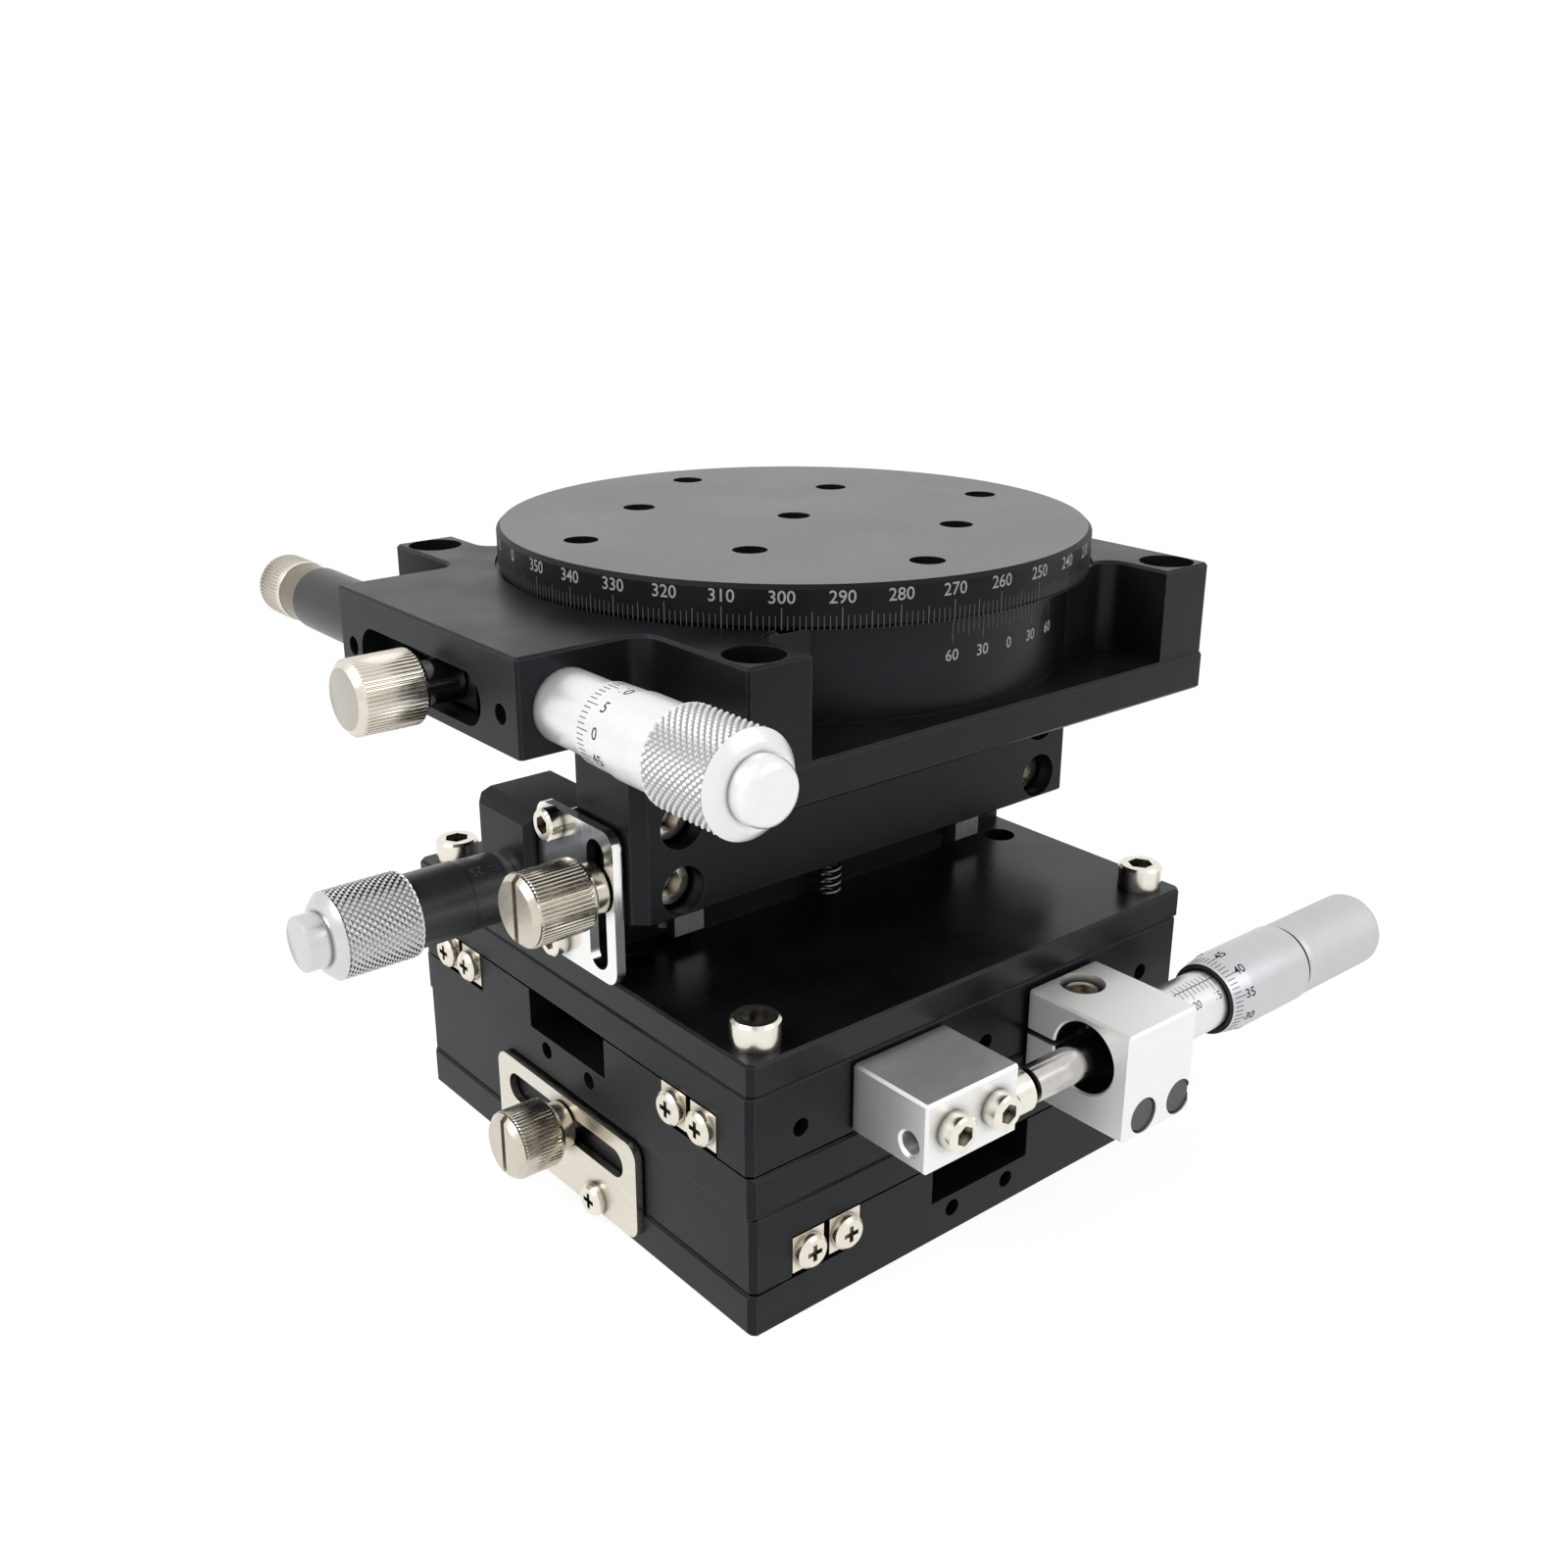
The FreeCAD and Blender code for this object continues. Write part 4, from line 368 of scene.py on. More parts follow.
# Bores of the brackets, painted near black inside as shade.
shaded_bores = {
    "x": ((0, -HEAD_OUT, SLIDE_HEIGHT + HEAD_LEVEL), X, BORE_RADIUS),
    "y": ((HEAD_OUT, 0, HEAD_LEVEL), Y, BORE_RADIUS),
}
steel, plate, block, bare = {}, {}, {}, {}
for along, letter in enumerate("xy"):
    steel[letter] = brushed("ground_steel_" + letter, (0.56, 0.56, 0.57), along, rough=0.26, tips=RAIL_END)
    plate[letter] = brushed("plate_steel_" + letter, (0.82, 0.77, 0.68), along, rough=0.26, depth=0.003)
    block[letter] = brushed("block_aluminium_" + letter, (0.97, 0.97, 0.96), along, rough=0.36, depth=0.012,
                            metal=0.82, grime=0.10)
    bare[letter] = brushed("bare_aluminium_" + letter, (0.98, 0.98, 0.97), along, rough=0.42, depth=0.010,
                           metal=0.65, grime=0.05, bore=shaded_bores[letter])
screw_steel = bright("screw_nickel", NICKEL, rough=0.20)
black_oxide = anodised("black_oxide", (0.012, 0.012, 0.013), rough=0.30, sheen=0.5)
knob_nickel = bright("knob_nickel", (0.66, 0.61, 0.52), rough=0.24, hollow=0.45, reach=0.7)
bright_nickel = bright("bright_nickel", (0.78, 0.73, 0.64), rough=0.24, hollow=0.45, reach=0.7)
polished = bright("polished_steel", (0.58, 0.56, 0.54), rough=0.14, hollow=0.4)
# Plunger neck: brass-tinted nickel, darkened as painted shade.
shaded_brass_nickel = bright("shaded_brass_nickel", (0.24, 0.21, 0.155), rough=0.28, hollow=0.3, reach=0.9)
cap_nickel = bright("cap_nickel", (0.48, 0.44, 0.36), rough=0.26, hollow=0.45, reach=0.7)
spring_paint = bright("spring_steel", (0.16, 0.15, 0.14), rough=0.30)
light_ink = ink("light_marks", (0.42, 0.42, 0.41))
dim_ink = ink("dim_marks", (0.13, 0.13, 0.13))
grey_ink = ink("grey_marks", (0.10, 0.10, 0.105))
dark_ink = ink("dark_marks", (0.03, 0.03, 0.032))

PAINT = {
    "y_base": black_satin, "x_base": black_satin, "y_table": black_satin, "x_table": black_satin,
    "z_base_plate": black_smooth, "z_column": black_satin, "z_carriage": black_satin,
    "z_top_plate": black_satin, "z_micrometer_block": black_satin, "rotary_housing": black_satin,
    "clamp_ring": black_satin, "rotary_disc": disc_paint,
    "z_fixed_rails": steel_z, "z_moving_rails": steel_z, "rotary_bearing": steel["x"],
    "z_lock_plate": plate_z,
    "y_lock_knob": knob_nickel, "x_lock_knob": knob_nickel, "z_lock_knob": knob_nickel,
    "rotary_lock_knob": bright_nickel,
    "z_wedge": steel["x"], "z_wedge_guide": steel["x"], "z_follower": steel_z, "z_roller": polished,
    "z_roller_pin": polished, "plunger_pin": polished,
}
for letter in "xy":
    for part in ("fixed_rails", "moving_rails", "roller_cages"):
        PAINT[f"{letter}_{part}"] = steel[letter]
    PAINT[letter + "_lock_plate"] = plate[letter]
    PAINT[letter + "_bracket"] = bare[letter]
    PAINT[letter + "_stop_block"] = block[letter]
for name in nodes:
    if name.endswith(("screws", "hardware")):
        PAINT[name] = screw_steel
    if name.endswith("spindle"):
        PAINT[name] = polished
PAINT["housing_screws"] = black_oxide
# Cap screw heads with their hex sockets painted black as shade.
PAINT["z_base_screws"] = bright("socket_nickel", NICKEL, rough=0.20, hollow=0.0, reach=2.6)
PAINT["x_base_screws"] = two_screws("x_base_screws", 1, -1.0, SLIDE_HEIGHT + 6.3)
PAINT["y_base_screws"] = two_screws("y_base_screws", 0, 1.0, 6.3)


# Mesh helpers

def axis_frame(origin, axis, side):
    """Matrix whose Z runs along axis and whose X points to side, at origin in millimetres."""
    along = Vector(axis).normalized()
    across = Vector(side).normalized()
    third = along.cross(across)
    matrix = Matrix((across, third, along)).transposed().to_4x4()
    matrix.translation = Vector(origin)
    return matrix


def add_mesh(name, points, faces, paint, body, smooth=True):
    """A piece that rides on a body, from points in millimetres."""
    mesh = bpy.data.meshes.new(name)
    mesh.from_pydata([tuple(c * MM for c in point) for point in points], [], faces)
    mesh.validate()
    mesh.update()
    piece = bpy.data.objects.new(name, mesh)
    bpy.context.scene.collection.objects.link(piece)
    for face in mesh.polygons:
        face.use_smooth = smooth
    mesh.materials.append(paint)
    if smooth:
        mesh.set_sharp_from_angle(angle=SMOOTH_ANGLE)
    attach(piece, body)
    return piece


def lathe(name, matrix, profile, segments, paint, body, relief=None):
    """Surface of revolution from (height, radius) points; relief adds to the radius at (height, angle)."""
    points = []
    rings = []
    for height, radius in profile:
        if radius < 1e-6:
            rings.append([len(points)])
            points.append(matrix @ Vector((0, 0, height)))
            continue
        ring = []
        for step in range(segments):
            angle = 2 * math.pi * step / segments
            extra = relief(height, angle) if relief else 0.0
            ring.append(len(points))
            reach = radius + extra
            points.append(matrix @ Vector((reach * math.cos(angle), reach * math.sin(angle), height)))
        rings.append(ring)
    faces = []
    for low, high in zip(rings, rings[1:]):
        for step in range(segments):
            following = (step + 1) % segments
            if len(low) == 1:
                faces.append((low[0], high[following], high[step]))
            elif len(high) == 1:
                faces.append((low[step], low[following], high[0]))
            else:
                faces.append((low[step], low[following], high[following], high[step]))
    return add_mesh(name, points, faces, paint, body)


def straight_knurl(teeth, depth):
    """Ridges along the axis."""
    def relief(height, angle):
        phase = (angle * teeth / (2 * math.pi)) % 1.0
        return depth * min(1.0, 1.6 * min(phase, 1.0 - phase) * 2)
    return relief


def diamond_knurl(teeth, radius, depth, low, high):
    """Small pyramids between two heights, cut by crossed grooves at 45 degrees; smooth outside them."""
    pitch = 2 * math.pi * radius / teeth

    def relief(height, angle):
        if not low < height < high:
            return 0.0
        turn = angle * teeth / (2 * math.pi)
        first = (turn + (height - low) / pitch) % 1.0
        second = (turn - (height - low) / pitch) % 1.0
        groove = min(first, 1 - first, second, 1 - second)
        return depth * (min(1.0, groove * 2.4) - 1.0)
    return relief


def steps(start, end, count):
    """Evenly spaced values from start to end, both included."""
    return [start + (end - start) * index / count for index in range(count + 1)]


def knurl_band(name, matrix, radius, low, high, teeth, paint, body):
    """Straight-knurled band round a cylinder, its ends running down into the surface."""
    relief = straight_knurl(teeth, KNURL_DEPTH)
    foot, crest = radius - 0.25, radius - 0.05
    profile = [(low, foot), (low + KNURL_EDGE, crest), (high - KNURL_EDGE, crest), (high, foot)]
    return lathe(name, matrix, profile, teeth * 6, paint, body, relief)


class Marks:
    """Thin marks laid just off a round surface: lines and figures, joined into one piece."""

    def __init__(self, matrix, radius):
        self.matrix = matrix
        self.radius = radius
        self.points = []
        self.faces = []

    def radius_at(self, height):
        return self.radius(height) if callable(self.radius) else self.radius

    def place(self, height, angle):
        reach = self.radius_at(height) + MARK_LIFT
        return self.matrix @ Vector((reach * math.cos(angle), reach * math.sin(angle), height))

    def line_along(self, angle, low, high, width):
        """A line along the axis, width millimetres wide."""
        spread = width / self.radius_at(low) / 2
        first = len(self.points)
        for height in (low, high):
            for turn in (angle - spread, angle + spread):
                self.points.append(self.place(height, turn))
        self.faces.append((first, first + 1, first + 3, first + 2))

    def line_round(self, height, start, end, width):
        """A line round the surface between two angles."""
        count = max(2, int(abs(end - start) / math.radians(4)))
        for turn, following in zip(steps(start, end, count), steps(start, end, count)[1:]):
            first = len(self.points)
            for angle in (turn, following):
                for level in (height - width / 2, height + width / 2):
                    self.points.append(self.place(level, angle))
            self.faces.append((first, first + 2, first + 3, first + 1))

    def figure(self, text, height, angle, size, spin=0.0, bold=0.0):
        """Centred text; its foot is towards low heights unless spun, its lines run round the surface."""
        curve = bpy.data.curves.new("figure", "FONT")
        curve.body = text
        curve.size = size / FIGURE_HEIGHT
        curve.offset = bold
        curve.resolution_u = 3
        curve.align_x = "CENTER"
        curve.align_y = "CENTER"
        holder = bpy.data.objects.new("figure", curve)
        flat = bpy.data.meshes.new_from_object(holder)
        first = len(self.points)
        reach = self.radius_at(height)
        for vertex in flat.vertices:
            x = vertex.co.x * math.cos(spin) - vertex.co.y * math.sin(spin)
            y = vertex.co.x * math.sin(spin) + vertex.co.y * math.cos(spin)
            self.points.append(self.place(height + y, angle + x / reach))
        for face in flat.polygons:
            self.faces.append(tuple(first + index for index in face.vertices))
        bpy.data.objects.remove(holder)
        bpy.data.curves.remove(curve)
        bpy.data.meshes.remove(flat)

    def finish(self, name, paint, body):
        return add_mesh(name, self.points, self.faces, paint, body, smooth=False)


# Disc scale and vernier

DISC_TURN = 167.9
DISC_FOOT = 0.12
FIGURE_LEVEL = 4.35
upright = axis_frame((0, 0, 0), Z, X)
dial = Marks(upright, DISC_RADIUS)
figures = Marks(upright, DISC_RADIUS)
for degree in range(360):
    angle = math.radians(DISC_TURN - degree)
    if degree % 10 == 0:
        length, width = 3.0, 0.17
    elif degree % 5 == 0:
        length, width = 2.5, 0.14
    else:
        length, width = 2.0, 0.11
    dial.line_along(angle, DISC_LEVEL + DISC_FOOT, DISC_LEVEL + length, width)
    if degree % 10 == 0:
        figures.figure(str(degree), DISC_LEVEL + FIGURE_LEVEL, angle, 1.75, bold=0.02)
dial.finish("dial_marks", dim_ink, "disc")
figures.finish("dial_figures", light_ink, "disc")

VERNIER_MIDDLE = -85.0
VERNIER_HALF = 14.6
VERNIER_TOP = HOUSING_TOP - 0.3
vernier = Marks(upright, DRUM_RADIUS)
figures = Marks(upright, DRUM_RADIUS)
for step in range(-12, 13):
    angle = math.radians(VERNIER_MIDDLE + step * VERNIER_HALF / 12)
    length = 3.2 if step % 6 == 0 else 2.5 if step % 3 == 0 else 2.0
    vernier.line_along(angle, VERNIER_TOP - length, VERNIER_TOP, 0.15)
    if step % 6 == 0:
        figures.figure(str(abs(step) * 5), VERNIER_TOP - 5.0, angle, 1.6, bold=0.035)
vernier.finish("vernier_marks", dim_ink, "z_lift")
figures.finish("vernier_figures", light_ink, "z_lift")


# Micrometer heads

DIVISIONS = 50


def thimble_scale(name, matrix, radius, zero, start, lengths, paint, body):
    """Lines round a thimble from start, each pair (first, last) for every fifth division and for the others."""
    scale = Marks(matrix, radius)
    for division in range(DIVISIONS):
        angle = zero - 2 * math.pi * division / DIVISIONS
        scale.line_along(angle, start, lengths[0 if division % 5 == 0 else 1], 0.10)
    scale.finish(name, paint, body)


def thimble_figures(name, matrix, radius, zero, height, size, bold, paint, body):
    """A figure at every fifth division, its foot towards the next one."""
    figures = Marks(matrix, radius)
    for division in range(0, DIVISIONS, 5):
        angle = zero - 2 * math.pi * division / DIVISIONS
        figures.figure(str(division), height, angle, size, spin=math.pi / 2, bold=bold)
    figures.finish(name, paint, body)


def large_head(prefix, origin, axis, side, base_body, screw_body, zero, index):
    """Engraved sleeve, bevelled thimble with divisions, and a finely knurled cap behind a groove."""
    matrix = axis_frame(origin, axis, side)
    satin = turned(prefix + "_satin", (0.62, 0.62, 0.64), origin, axis, rough=0.36)
    sleeve_satin = turned(prefix + "_sleeve_satin", (0.82, 0.82, 0.83), origin, axis, rough=0.34)
    cap_paint = turned(prefix + "_cap", (0.62, 0.62, 0.62), origin, axis, rough=0.44)
    PAINT[prefix + "_sleeve"] = sleeve_satin
    start, bevel, thimble, end = 13.4, 18.0, 33.0, 55.0
    nose, wide = 5.76, 6.5
    profile = [
        (start + 6.0, 5.0), (start, 5.0), (start, 5.72), (start + 0.04, nose), (bevel - 0.1, wide - 0.02),
        (bevel + 0.1, wide), (thimble - 0.4, wide), (thimble, wide - 0.4), (thimble, 5.6),
    ]
    piece = lathe(prefix + "_thimble_tube", matrix, profile, 96, satin, screw_body)
    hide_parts(prefix + "_thimble")
    # Dark ring at the thimble's front: its black front edge, and painted shade of the gap to the sleeve.
    profile = [(start + 3.0, 5.0), (start - 0.02, 5.0), (start - 0.02, 5.70), (start + 0.3, 5.78)]
    lathe(prefix + "_thimble_edge_and_gap_shade", matrix, profile, 96, dark_ink, screw_body)
    groove = 0.05
    fine = straight_knurl(96, groove)
    body_low, body_high = thimble + 2.0, end - 2.2

    def relief(height, angle):
        return fine(height, angle) - groove if body_low < height < body_high else 0.0

    rounded = [(end - 2.0 + 2.0 * math.sin(turn), 4.25 + 2.0 * math.cos(turn)) for turn in steps(0, math.pi / 2, 6)]
    profile = [(thimble, 5.0), (thimble, 5.6), (thimble + 0.5, 5.6), (thimble + 0.5, 6.1), (thimble + 0.8, 6.25)]
    profile += [(body_low + 0.05, 6.25), (body_high - 0.05, 6.25)] + rounded + [(end, 0.0)]
    lathe(prefix + "_thimble_cap", matrix, profile, 576, cap_paint, screw_body, relief)

    def bevel_radius(height):
        return nose + (wide - nose) * (height - start) / (bevel - start)

    thimble_scale(prefix + "_thimble_marks", matrix, bevel_radius, zero, start + 0.5, (start + 2.9, start + 2.1),
                  dark_ink, screw_body)
    thimble_figures(prefix + "_thimble_figures", matrix, bevel_radius, zero, start + 3.8, 1.5, 0.01, dark_ink,
                    screw_body)
    sleeve = Marks(matrix, SLEEVE_RADIUS)
    sleeve.line_along(index, 0.4, 37.0, 0.12)
    for half in range(0, 51):
        height = 26.5 - half * 0.5
        if half % 2 == 0:
            reach = 2.0 if half % 10 == 0 else 1.3
            sleeve.line_round(height, index, index + reach / SLEEVE_RADIUS, 0.10)
        else:
            sleeve.line_round(height, index - 1.2 / SLEEVE_RADIUS, index, 0.10)
        if half % 10 == 0:
            sleeve.figure(str(half // 2), height, index + 3.0 / SLEEVE_RADIUS, 1.3, spin=math.pi / 2)
    sleeve.finish(prefix + "_sleeve_marks", dark_ink, base_body)


large_head("y", (HEAD_OUT, HEAD_FACE, HEAD_LEVEL), Y, Z, "base", "y_screw", math.radians(20), math.radians(60))
large_head("x", (HEAD_FACE, -HEAD_OUT, SLIDE_HEIGHT + HEAD_LEVEL), X, Z, "y_slide", "x_screw",
           math.radians(-39), math.radians(18))


def small_head(prefix, origin, axis, side, start, body, smooth_paint, grip_paint, end_paint, domed, teeth,
               groove):
    """Stepped thimble with a diamond-knurled grip and a small end button."""
    matrix = axis_frame(origin, axis, side)
    grip_start = start + 14.8
    grip_end = grip_start + 13.2
    end = grip_end + 3.2
    profile = [
        (start + 5.0, 4.98), (start, 4.98), (start, 5.28), (start + 0.05, 5.34), (start + 6.1, 5.46),
        (start + 6.3, 5.64), (grip_start, 5.64),
    ]
    piece = lathe(prefix + "_thimble_front", matrix, profile, 96, smooth_paint, body)
    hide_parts(prefix + "_thimble")
    wide = 6.54
    low = grip_start + 0.45
    step = 2 * math.pi * wide / teeth / 8
    count = int((grip_end - 1.5 - low) / step)
    high = low + count * step
    knurl = diamond_knurl(teeth, wide, groove, low - step / 2, high + step / 2)
    profile = [(grip_start, 5.5), (grip_start, 6.1), (grip_start + 0.3, wide - 0.1)]
    profile += [(height, wide) for height in steps(low, high, count)]
    profile += [(grip_end - 1.35, wide), (grip_end - 0.1, 5.25), (grip_end, 5.0), (grip_end, 3.8)]
    lathe(prefix + "_thimble_grip", matrix, profile, teeth * 8, grip_paint, body, knurl)
    if domed:
        crown = [(end - 1.6 + 1.6 * math.sin(turn), 2.5 + 1.6 * math.cos(turn)) for turn in steps(0, math.pi / 2, 8)]
        crown += [(end, 1.6), (end - 0.15, 0.9), (end - 0.2, 0.0)]
    else:
        crown = [(end - 0.3, 4.08), (end - 0.08, 3.98), (end, 3.8), (end, 0.0)]
    profile = [(grip_end - 0.2, 4.08)] + crown
    lathe(prefix + "_thimble_button", matrix, profile, 96, end_paint, body)


def small_marks(prefix, origin, axis, side, start, zero, index, base_body, screw_body, reach, paint):
    """Divisions and figures of a small micrometer's thimble, and its sleeve's scale."""
    matrix = axis_frame(origin, axis, side)

    def bevel_radius(height):
        return 5.34 + 0.12 * (height - start) / 6.1

    thimble_scale(prefix + "_thimble_marks", matrix, bevel_radius, zero, start + 0.7, (start + 2.9, start + 2.1),
                  paint, screw_body)
    thimble_figures(prefix + "_thimble_figures", matrix, bevel_radius, zero, start + 4.4, 1.6, 0.0, paint,
                    screw_body)
    sleeve = Marks(matrix, SMALL_SLEEVE_RADIUS)
    sleeve.line_along(index, 0.3, reach, 0.12)
    for half in range(0, 27):
        height = reach - 0.2 - half * 0.5
        spread = (2.0 if half % 10 == 0 else 1.3) / SMALL_SLEEVE_RADIUS
        if height > 0.3:
            sleeve.line_round(height, index, index + (spread if half % 2 == 0 else -spread), 0.11)
    sleeve.finish(prefix + "_sleeve_marks", dark_ink, base_body)


lift_origin = (-48.3, 10.0, LIFT_LEVEL + 8.2)
lift_dark = turned("lift_dark", (0.100, 0.103, 0.112), lift_origin, X, rough=0.34, metal=0.7)
lift_silver = turned("lift_silver", (0.69, 0.69, 0.70), lift_origin, X, rough=0.26)
lift_satin = turned("lift_satin", (0.80, 0.80, 0.82), lift_origin, X, rough=0.30)
small_head("z", lift_origin, AGAINST_X, Z, 1.6, "z_screw", lift_dark, lift_silver, lift_silver,
           domed=False, teeth=36, groove=0.34)
small_marks("z", lift_origin, AGAINST_X, Z, 1.6, math.radians(150), math.radians(60), "x_slide", "z_screw", 10.0,
            grey_ink)
PAINT["z_sleeve"] = lift_satin

fine_origin = (-56.6, -23.3, HOUSING_LEVEL + 6.5)
fine_satin = turned("fine_satin", (0.94, 0.94, 0.95), fine_origin, Y, rough=0.34, metal=0.75)
fine_bright = turned("fine_bright", (0.95, 0.95, 0.95), fine_origin, Y, rough=0.30, metal=0.75)
# Grip with painted shade in its knurl grooves.
fine_grip = turned("fine_grip", (0.90, 0.90, 0.89), fine_origin, Y, rough=0.30, metal=0.75,
                   knurled=(25.1, 36.2, 6.28, 6.50))
small_head("rotary", fine_origin, AGAINST_Y, Z, 9.8, "fine_screw", fine_satin, fine_grip,
           fine_bright, domed=True, teeth=38, groove=0.28)
small_marks("rotary", fine_origin, AGAINST_Y, Z, 9.8, math.radians(79), math.radians(-60), "z_lift", "fine_screw",
            14.0, dark_ink)
PAINT["rotary_sleeve"] = fine_satin


# Knobs and plunger

KNOB_TEETH = 56
KNOB_RADIUS = 5.25
ROTARY_KNOB_RADIUS = 5.0
rotary_place = (-60.3, -1.5, HOUSING_LEVEL + 5.8)


def knob_band(name, origin, axis, low, high, radius, body, paint=knob_nickel):
    """Knurl round a lock knob, between two heights from origin."""
    knurl_band(name, axis_frame(origin, axis, Z), radius, low, high, KNOB_TEETH, paint, body)


knob_band("y_knob_knurl", (-46.5, 0, 13.2), AGAINST_X, 3.2, 9.4, KNOB_RADIUS, "y_lock")
knob_band("x_knob_knurl", (0, 46.5, SLIDE_HEIGHT + 13.2), Y, 3.2, 9.4, KNOB_RADIUS, "x_lock")
knob_band("z_knob_knurl", (-46.8, -12.6, 57.7), AGAINST_X, 3.2, 11.8, KNOB_RADIUS, "z_lock")
knob_band("rotary_knob_knurl", rotary_place, AGAINST_X, 6.4, 15.1, ROTARY_KNOB_RADIUS, "rotary_lock", bright_nickel)

# A plain chamfered end face and a neck for the rotary table's knob
end, rim = 15.83, ROTARY_KNOB_RADIUS
rotary_knob = axis_frame(rotary_place, AGAINST_X, Z)
face_nickel = turned("face_nickel", (0.52, 0.49, 0.43), rotary_place, X, rough=0.26)
profile = [(end - 0.9, rim - 0.02), (end - 0.02, rim - 0.9), (end, rim - 0.95), (end, 0.0)]
lathe("rotary_knob_face", rotary_knob, profile, 96, face_nickel, "rotary_lock")
neck_steel = turned("neck_steel", (0.72, 0.70, 0.66), rotary_place, X, rough=0.16)
profile = [(0.05, 0.0), (0.05, 3.02), (5.8, 3.02)]
lathe("rotary_knob_neck", rotary_knob, profile, 64, neck_steel, "rotary_lock")

plunger_origin = (-56.6, 25.2, HOUSING_LEVEL + 6.5)
plunger = axis_frame(plunger_origin, Y, Z)
barrel_paint = turned("barrel_black", (0.006, 0.006, 0.007), plunger_origin, Y, rough=0.30, metal=0.0)
profile = [(0, 2.1), (0, 4.75), (0.12, 4.88), (21.2, 4.88), (21.5, 4.6), (21.5, 4.0)]
barrel = lathe("plunger_barrel", plunger, profile, 96, barrel_paint, "z_lift")
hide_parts("spring_plunger")
# Neck in brass-tinted nickel with painted shade.
profile = [(21.5, 4.0), (21.5, 4.55), (26.9, 4.55), (26.9, 4.0)]
lathe("plunger_neck", plunger, profile, 64, shaded_brass_nickel, "z_lift")
profile = [(26.9, 3.0), (26.9, 4.6), (27.2, 4.75), (34.2, 4.6), (34.8, 4.1), (34.8, 0.0)]
lathe("plunger_cap", plunger, profile, 64, bright_nickel, "z_lift")
knurl_band("plunger_cap_knurl", plunger, 4.65, 27.6, 34.1, 52, cap_nickel, "z_lift")


# Pins on both sides of the fine-turning lever

def domed_pin(node, tip, end, radius, body):
    """Pin from tip to end along Y, with a domed tip that leaves the lever room to tilt."""
    axis = Y if end > tip else AGAINST_Y
    length = abs(end - tip)
    dome, edge = 6.0, 0.3
    crown = [(dome - math.sqrt(dome * dome - out * out), out) for out in steps(0.0, radius - edge, 6)]
    profile = crown + [(crown[-1][0] + edge, radius), (length, radius), (length, 0.0)]
    matrix = axis_frame((fine_origin[0], tip, fine_origin[2]), axis, Z)
    piece = lathe(node + "_domed", matrix, profile, 64, polished, body)
    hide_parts(node)


domed_pin("rotary_spindle", -6.62, -58.5, 2.25, "fine_spindle")
domed_pin("plunger_pin", 3.62, 43.55, 2.0, "plunger")


# Plugs over the cap screws in the brackets

plug_grey = anodised("plug_grey", (0.09, 0.088, 0.084), rough=0.4, sheen=0.4, edge_glint=0.2, grain_depth=0.03)


def bracket_plug(name, place, axis, body):
    """Dark disc just below the bracket's outer face."""
    profile = [(-0.7, 2.66), (-0.42, 2.66), (-0.35, 2.55), (-0.35, 0.0)]
    lathe(name, axis_frame(place, axis, Z), profile, 48, plug_grey, body)


BRACKET_FACE = 64.6
PLUG_LEVEL = 3.3
for number, along in enumerate((13.0, 21.2)):
    bracket_plug(f"x_bracket_plug_{number}", (along, -BRACKET_FACE, SLIDE_HEIGHT + PLUG_LEVEL), AGAINST_Y, "y_slide")
for number, along in enumerate((13.0, 21.2)):
    bracket_plug(f"y_bracket_plug_{number}", (BRACKET_FACE, along, PLUG_LEVEL), X, "base")


# Return spring: a wire wound round the lift's front axis

def coil(name, centre, low, high, radius, wire, turns, paint, body):
    """Closed tube wound upwards round an axis; wire is the tube's own radius."""
    points = []
    faces = []
    sides = 8
    rings_a_turn = 20
    count = turns * rings_a_turn
    for index in range(count + 1):
        share = index / count
        angle = 2 * math.pi * turns * share
        out = Vector((math.cos(angle), math.sin(angle), 0))
        middle = Vector(centre) + out * radius + Vector((0, 0, low + (high - low) * share))
        for side in range(sides):
            turn = 2 * math.pi * side / sides
            points.append(middle + out * wire * math.cos(turn) + Vector((0, 0, wire * math.sin(turn))))
    for index in range(count):
        for side in range(sides):
            following = (side + 1) % sides
            base = index * sides
            faces.append((base + side, base + following, base + sides + following, base + sides + side))
    for start in (0, count * sides):
        faces.append(tuple(range(start, start + sides)))
    return add_mesh(name, points, faces, paint, body)


spring = coil("return_coil", (-1.4, -10.8, 0), LIFT_LEVEL + 0.35, LIFT_LEVEL + 29.85, 1.6, 0.33, 24, spring_paint,
              "x_slide")
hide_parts("z_return_spring")
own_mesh(spring)


# Materials of the construction's own nodes

for name, node in nodes.items():
    if name in PAINT:
        node.data.materials.clear()
        node.data.materials.append(PAINT[name])


# Floor, light and camera

FLOOR_SHARE = 0.80
FLOOR_GLOW = 1.14
BACKDROP = 1.0
AMBIENT = 0.55
WHITE = (1.0, 1.0, 1.0, 1.0)


def seen_directly(tree):
    """1 for rays from the camera, from mirrors and through glass, 0 for the rays that only light."""
    path = tree.nodes.new("ShaderNodeLightPath")
    value = path.outputs["Is Camera Ray"]
    for other in ("Is Glossy Ray", "Is Transmission Ray"):
        larger = tree.nodes.new("ShaderNodeMath")
        larger.operation = "MAXIMUM"
        tree.links.new(value, larger.inputs[0])
        tree.links.new(path.outputs[other], larger.inputs[1])
        value = larger.outputs[0]
    return value


def mixed_shader(tree, share, first, second, surface):
    joined = tree.nodes.new("ShaderNodeMixShader")
    tree.links.new(share, joined.inputs["Fac"])
    tree.links.new(first.outputs[0], joined.inputs[1])
    tree.links.new(second.outputs[0], joined.inputs[2])
    tree.links.new(joined.outputs[0], surface)


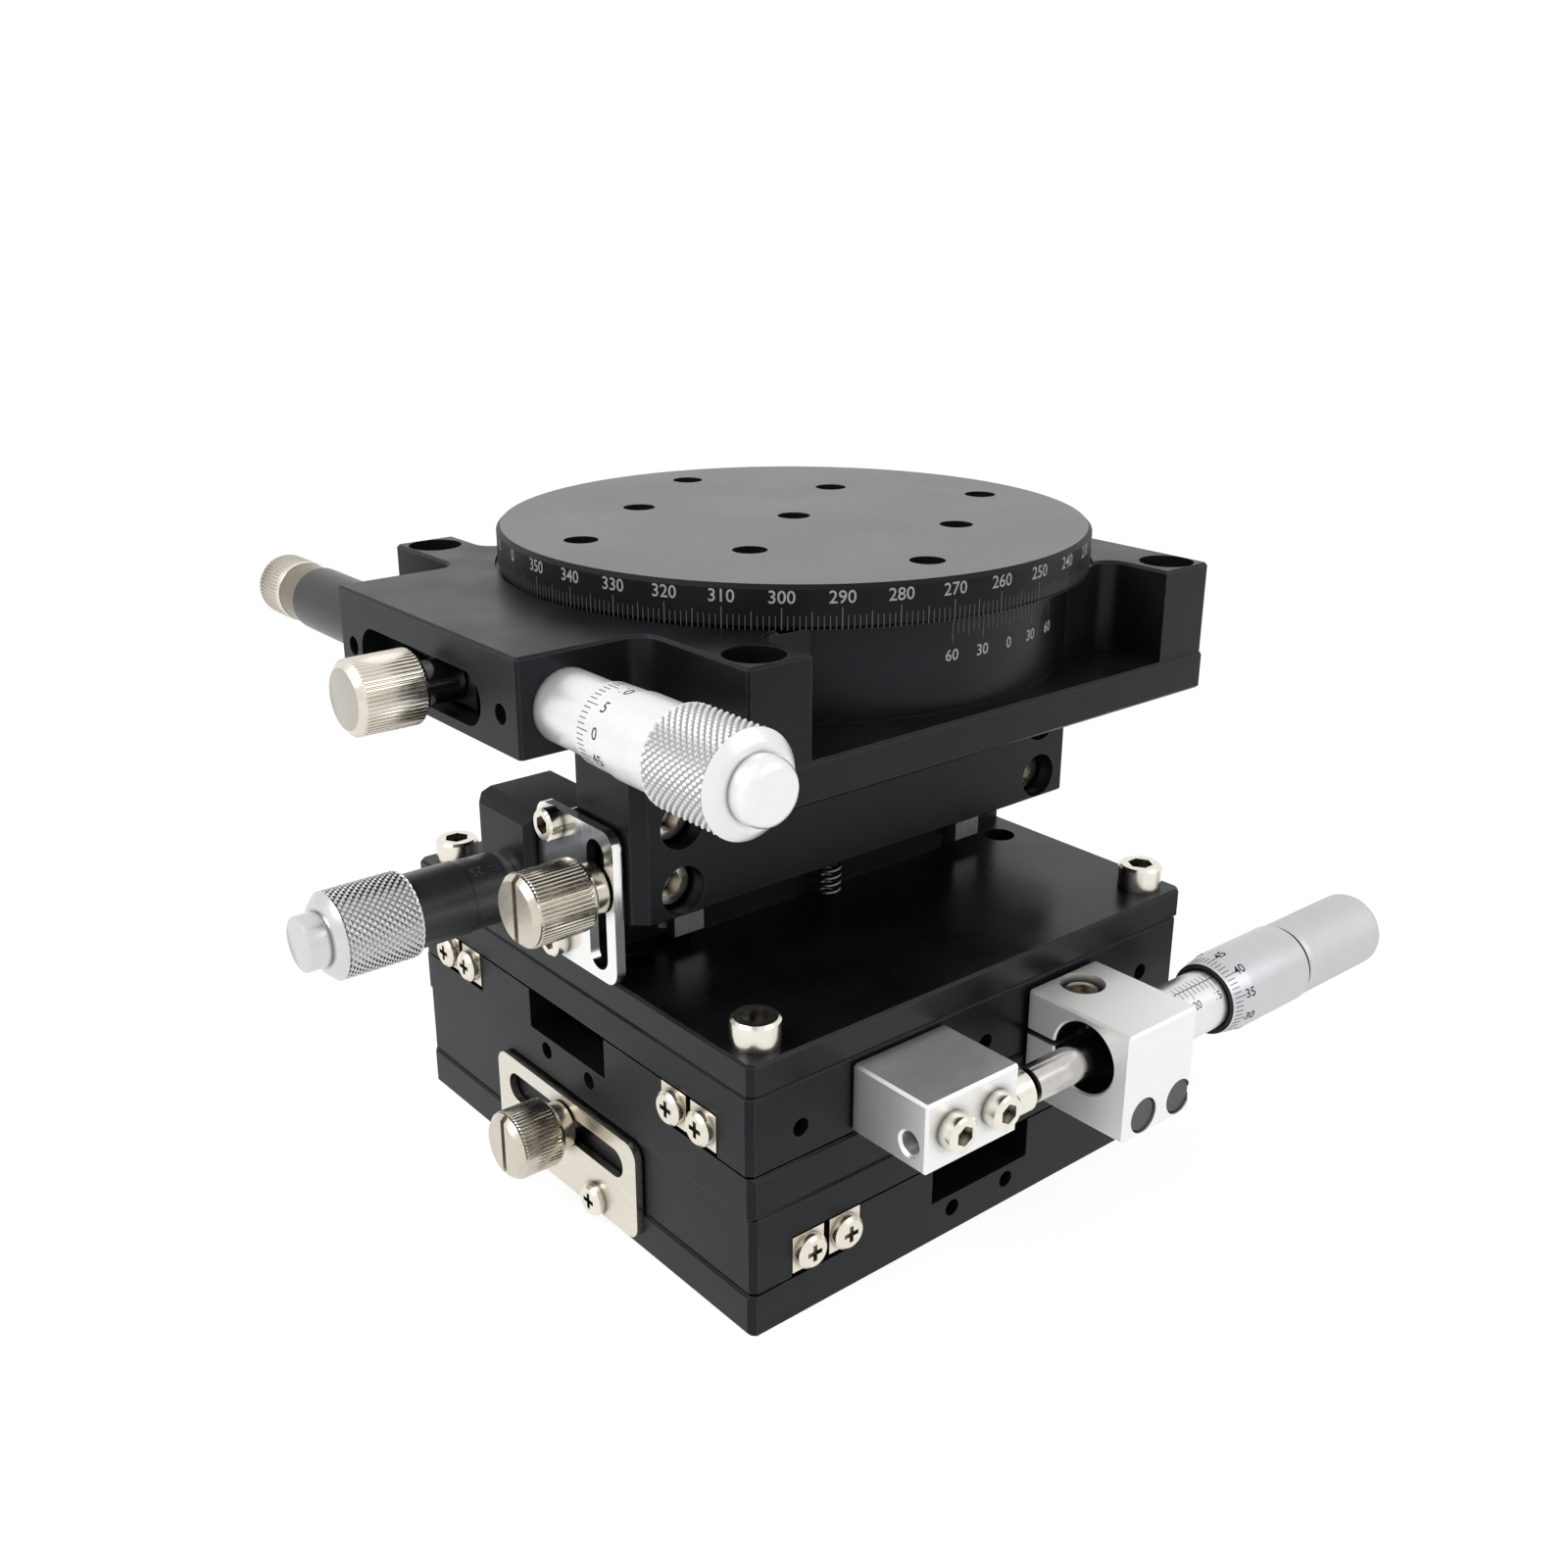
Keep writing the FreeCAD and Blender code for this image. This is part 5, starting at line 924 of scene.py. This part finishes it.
def white_where_seen(name, colour):
    """White to the camera, to mirrors and through glass; a plain pale surface otherwise."""
    material = bpy.data.materials.new(name)
    material.use_nodes = True
    tree = material.node_tree
    tree.nodes.clear()
    output = tree.nodes.new("ShaderNodeOutputMaterial")
    share = tree.nodes.new("ShaderNodeMath")
    share.operation = "MULTIPLY"
    share.inputs[1].default_value = FLOOR_SHARE
    tree.links.new(seen_directly(tree), share.inputs[0])
    pale = tree.nodes.new("ShaderNodeBsdfDiffuse")
    pale.inputs["Color"].default_value = (*colour, 1.0)
    glow = tree.nodes.new("ShaderNodeEmission")
    glow.inputs["Color"].default_value = WHITE
    glow.inputs["Strength"].default_value = FLOOR_GLOW
    mixed_shader(tree, share.outputs[0], pale, glow, output.inputs["Surface"])
    return material


floor_mesh = bpy.data.meshes.new("floor")
reach = 6.0
FLOOR_LEVEL = -0.0002
floor_mesh.from_pydata([(-reach, -reach, 0), (reach, -reach, 0), (reach, reach, 0), (-reach, reach, 0)], [],
                       [(0, 1, 2, 3)])
floor = bpy.data.objects.new("floor", floor_mesh)
bpy.context.scene.collection.objects.link(floor)
floor.location = (0, 0, FLOOR_LEVEL)
floor.data.materials.append(white_where_seen("floor_white", (0.88, 0.88, 0.88)))

world = bpy.data.worlds.new("studio")
bpy.context.scene.world = world
world.use_nodes = True
tree = world.node_tree
tree.nodes.clear()
world_output = tree.nodes.new("ShaderNodeOutputWorld")
lights = []
for strength in (AMBIENT, BACKDROP):
    light = tree.nodes.new("ShaderNodeBackground")
    light.inputs["Color"].default_value = WHITE
    light.inputs["Strength"].default_value = strength
    lights.append(light)
mixed_shader(tree, seen_directly(tree), *lights, world_output.inputs["Surface"])


def add_lamp(name, place, target, size, power):
    """Round area lamp that points at the target."""
    data = bpy.data.lights.new(name, "AREA")
    data.shape = "DISK"
    data.size = size
    data.energy = power
    lamp = bpy.data.objects.new(name, data)
    bpy.context.scene.collection.objects.link(lamp)
    lamp.location = place
    lamp.rotation_mode = "QUATERNION"
    lamp.rotation_quaternion = (Vector(target) - Vector(place)).to_track_quat("-Z", "Y")


LAMP_TARGET = (0, 0, 0.05)
add_lamp("key", (-0.9, 0.1, 0.9), LAMP_TARGET, 0.7, 7.0)
add_lamp("fill", (0.5, -0.9, 0.8), LAMP_TARGET, 0.8, 2.0)


# The photograph's camera: its place in metres and its turns in radians
CAMERA_PLACE = (-0.15984, -0.18945, 0.15158)
lens = bpy.data.cameras.new("camera")
lens.sensor_width = 36.0
lens.lens = 37.43
lens.clip_start = 0.01
lens.clip_end = 50.0
camera = bpy.data.objects.new("camera", lens)
bpy.context.scene.collection.objects.link(camera)
yaw, pitch, roll = 0.6951, 0.3595, 0.0024
ahead = Vector((math.sin(yaw) * math.cos(pitch), math.cos(yaw) * math.cos(pitch), -math.sin(pitch)))
right = Vector((math.cos(yaw), -math.sin(yaw), 0))
above = right.cross(ahead)
turned_right = right * math.cos(roll) + above * math.sin(roll)
turned_above = above * math.cos(roll) - right * math.sin(roll)
pose = Matrix((turned_right, turned_above, -ahead)).transposed().to_4x4()
pose.translation = Vector(CAMERA_PLACE)
camera.matrix_world = pose
bpy.context.scene.camera = camera
bpy.context.scene.view_settings.view_transform = "Standard"
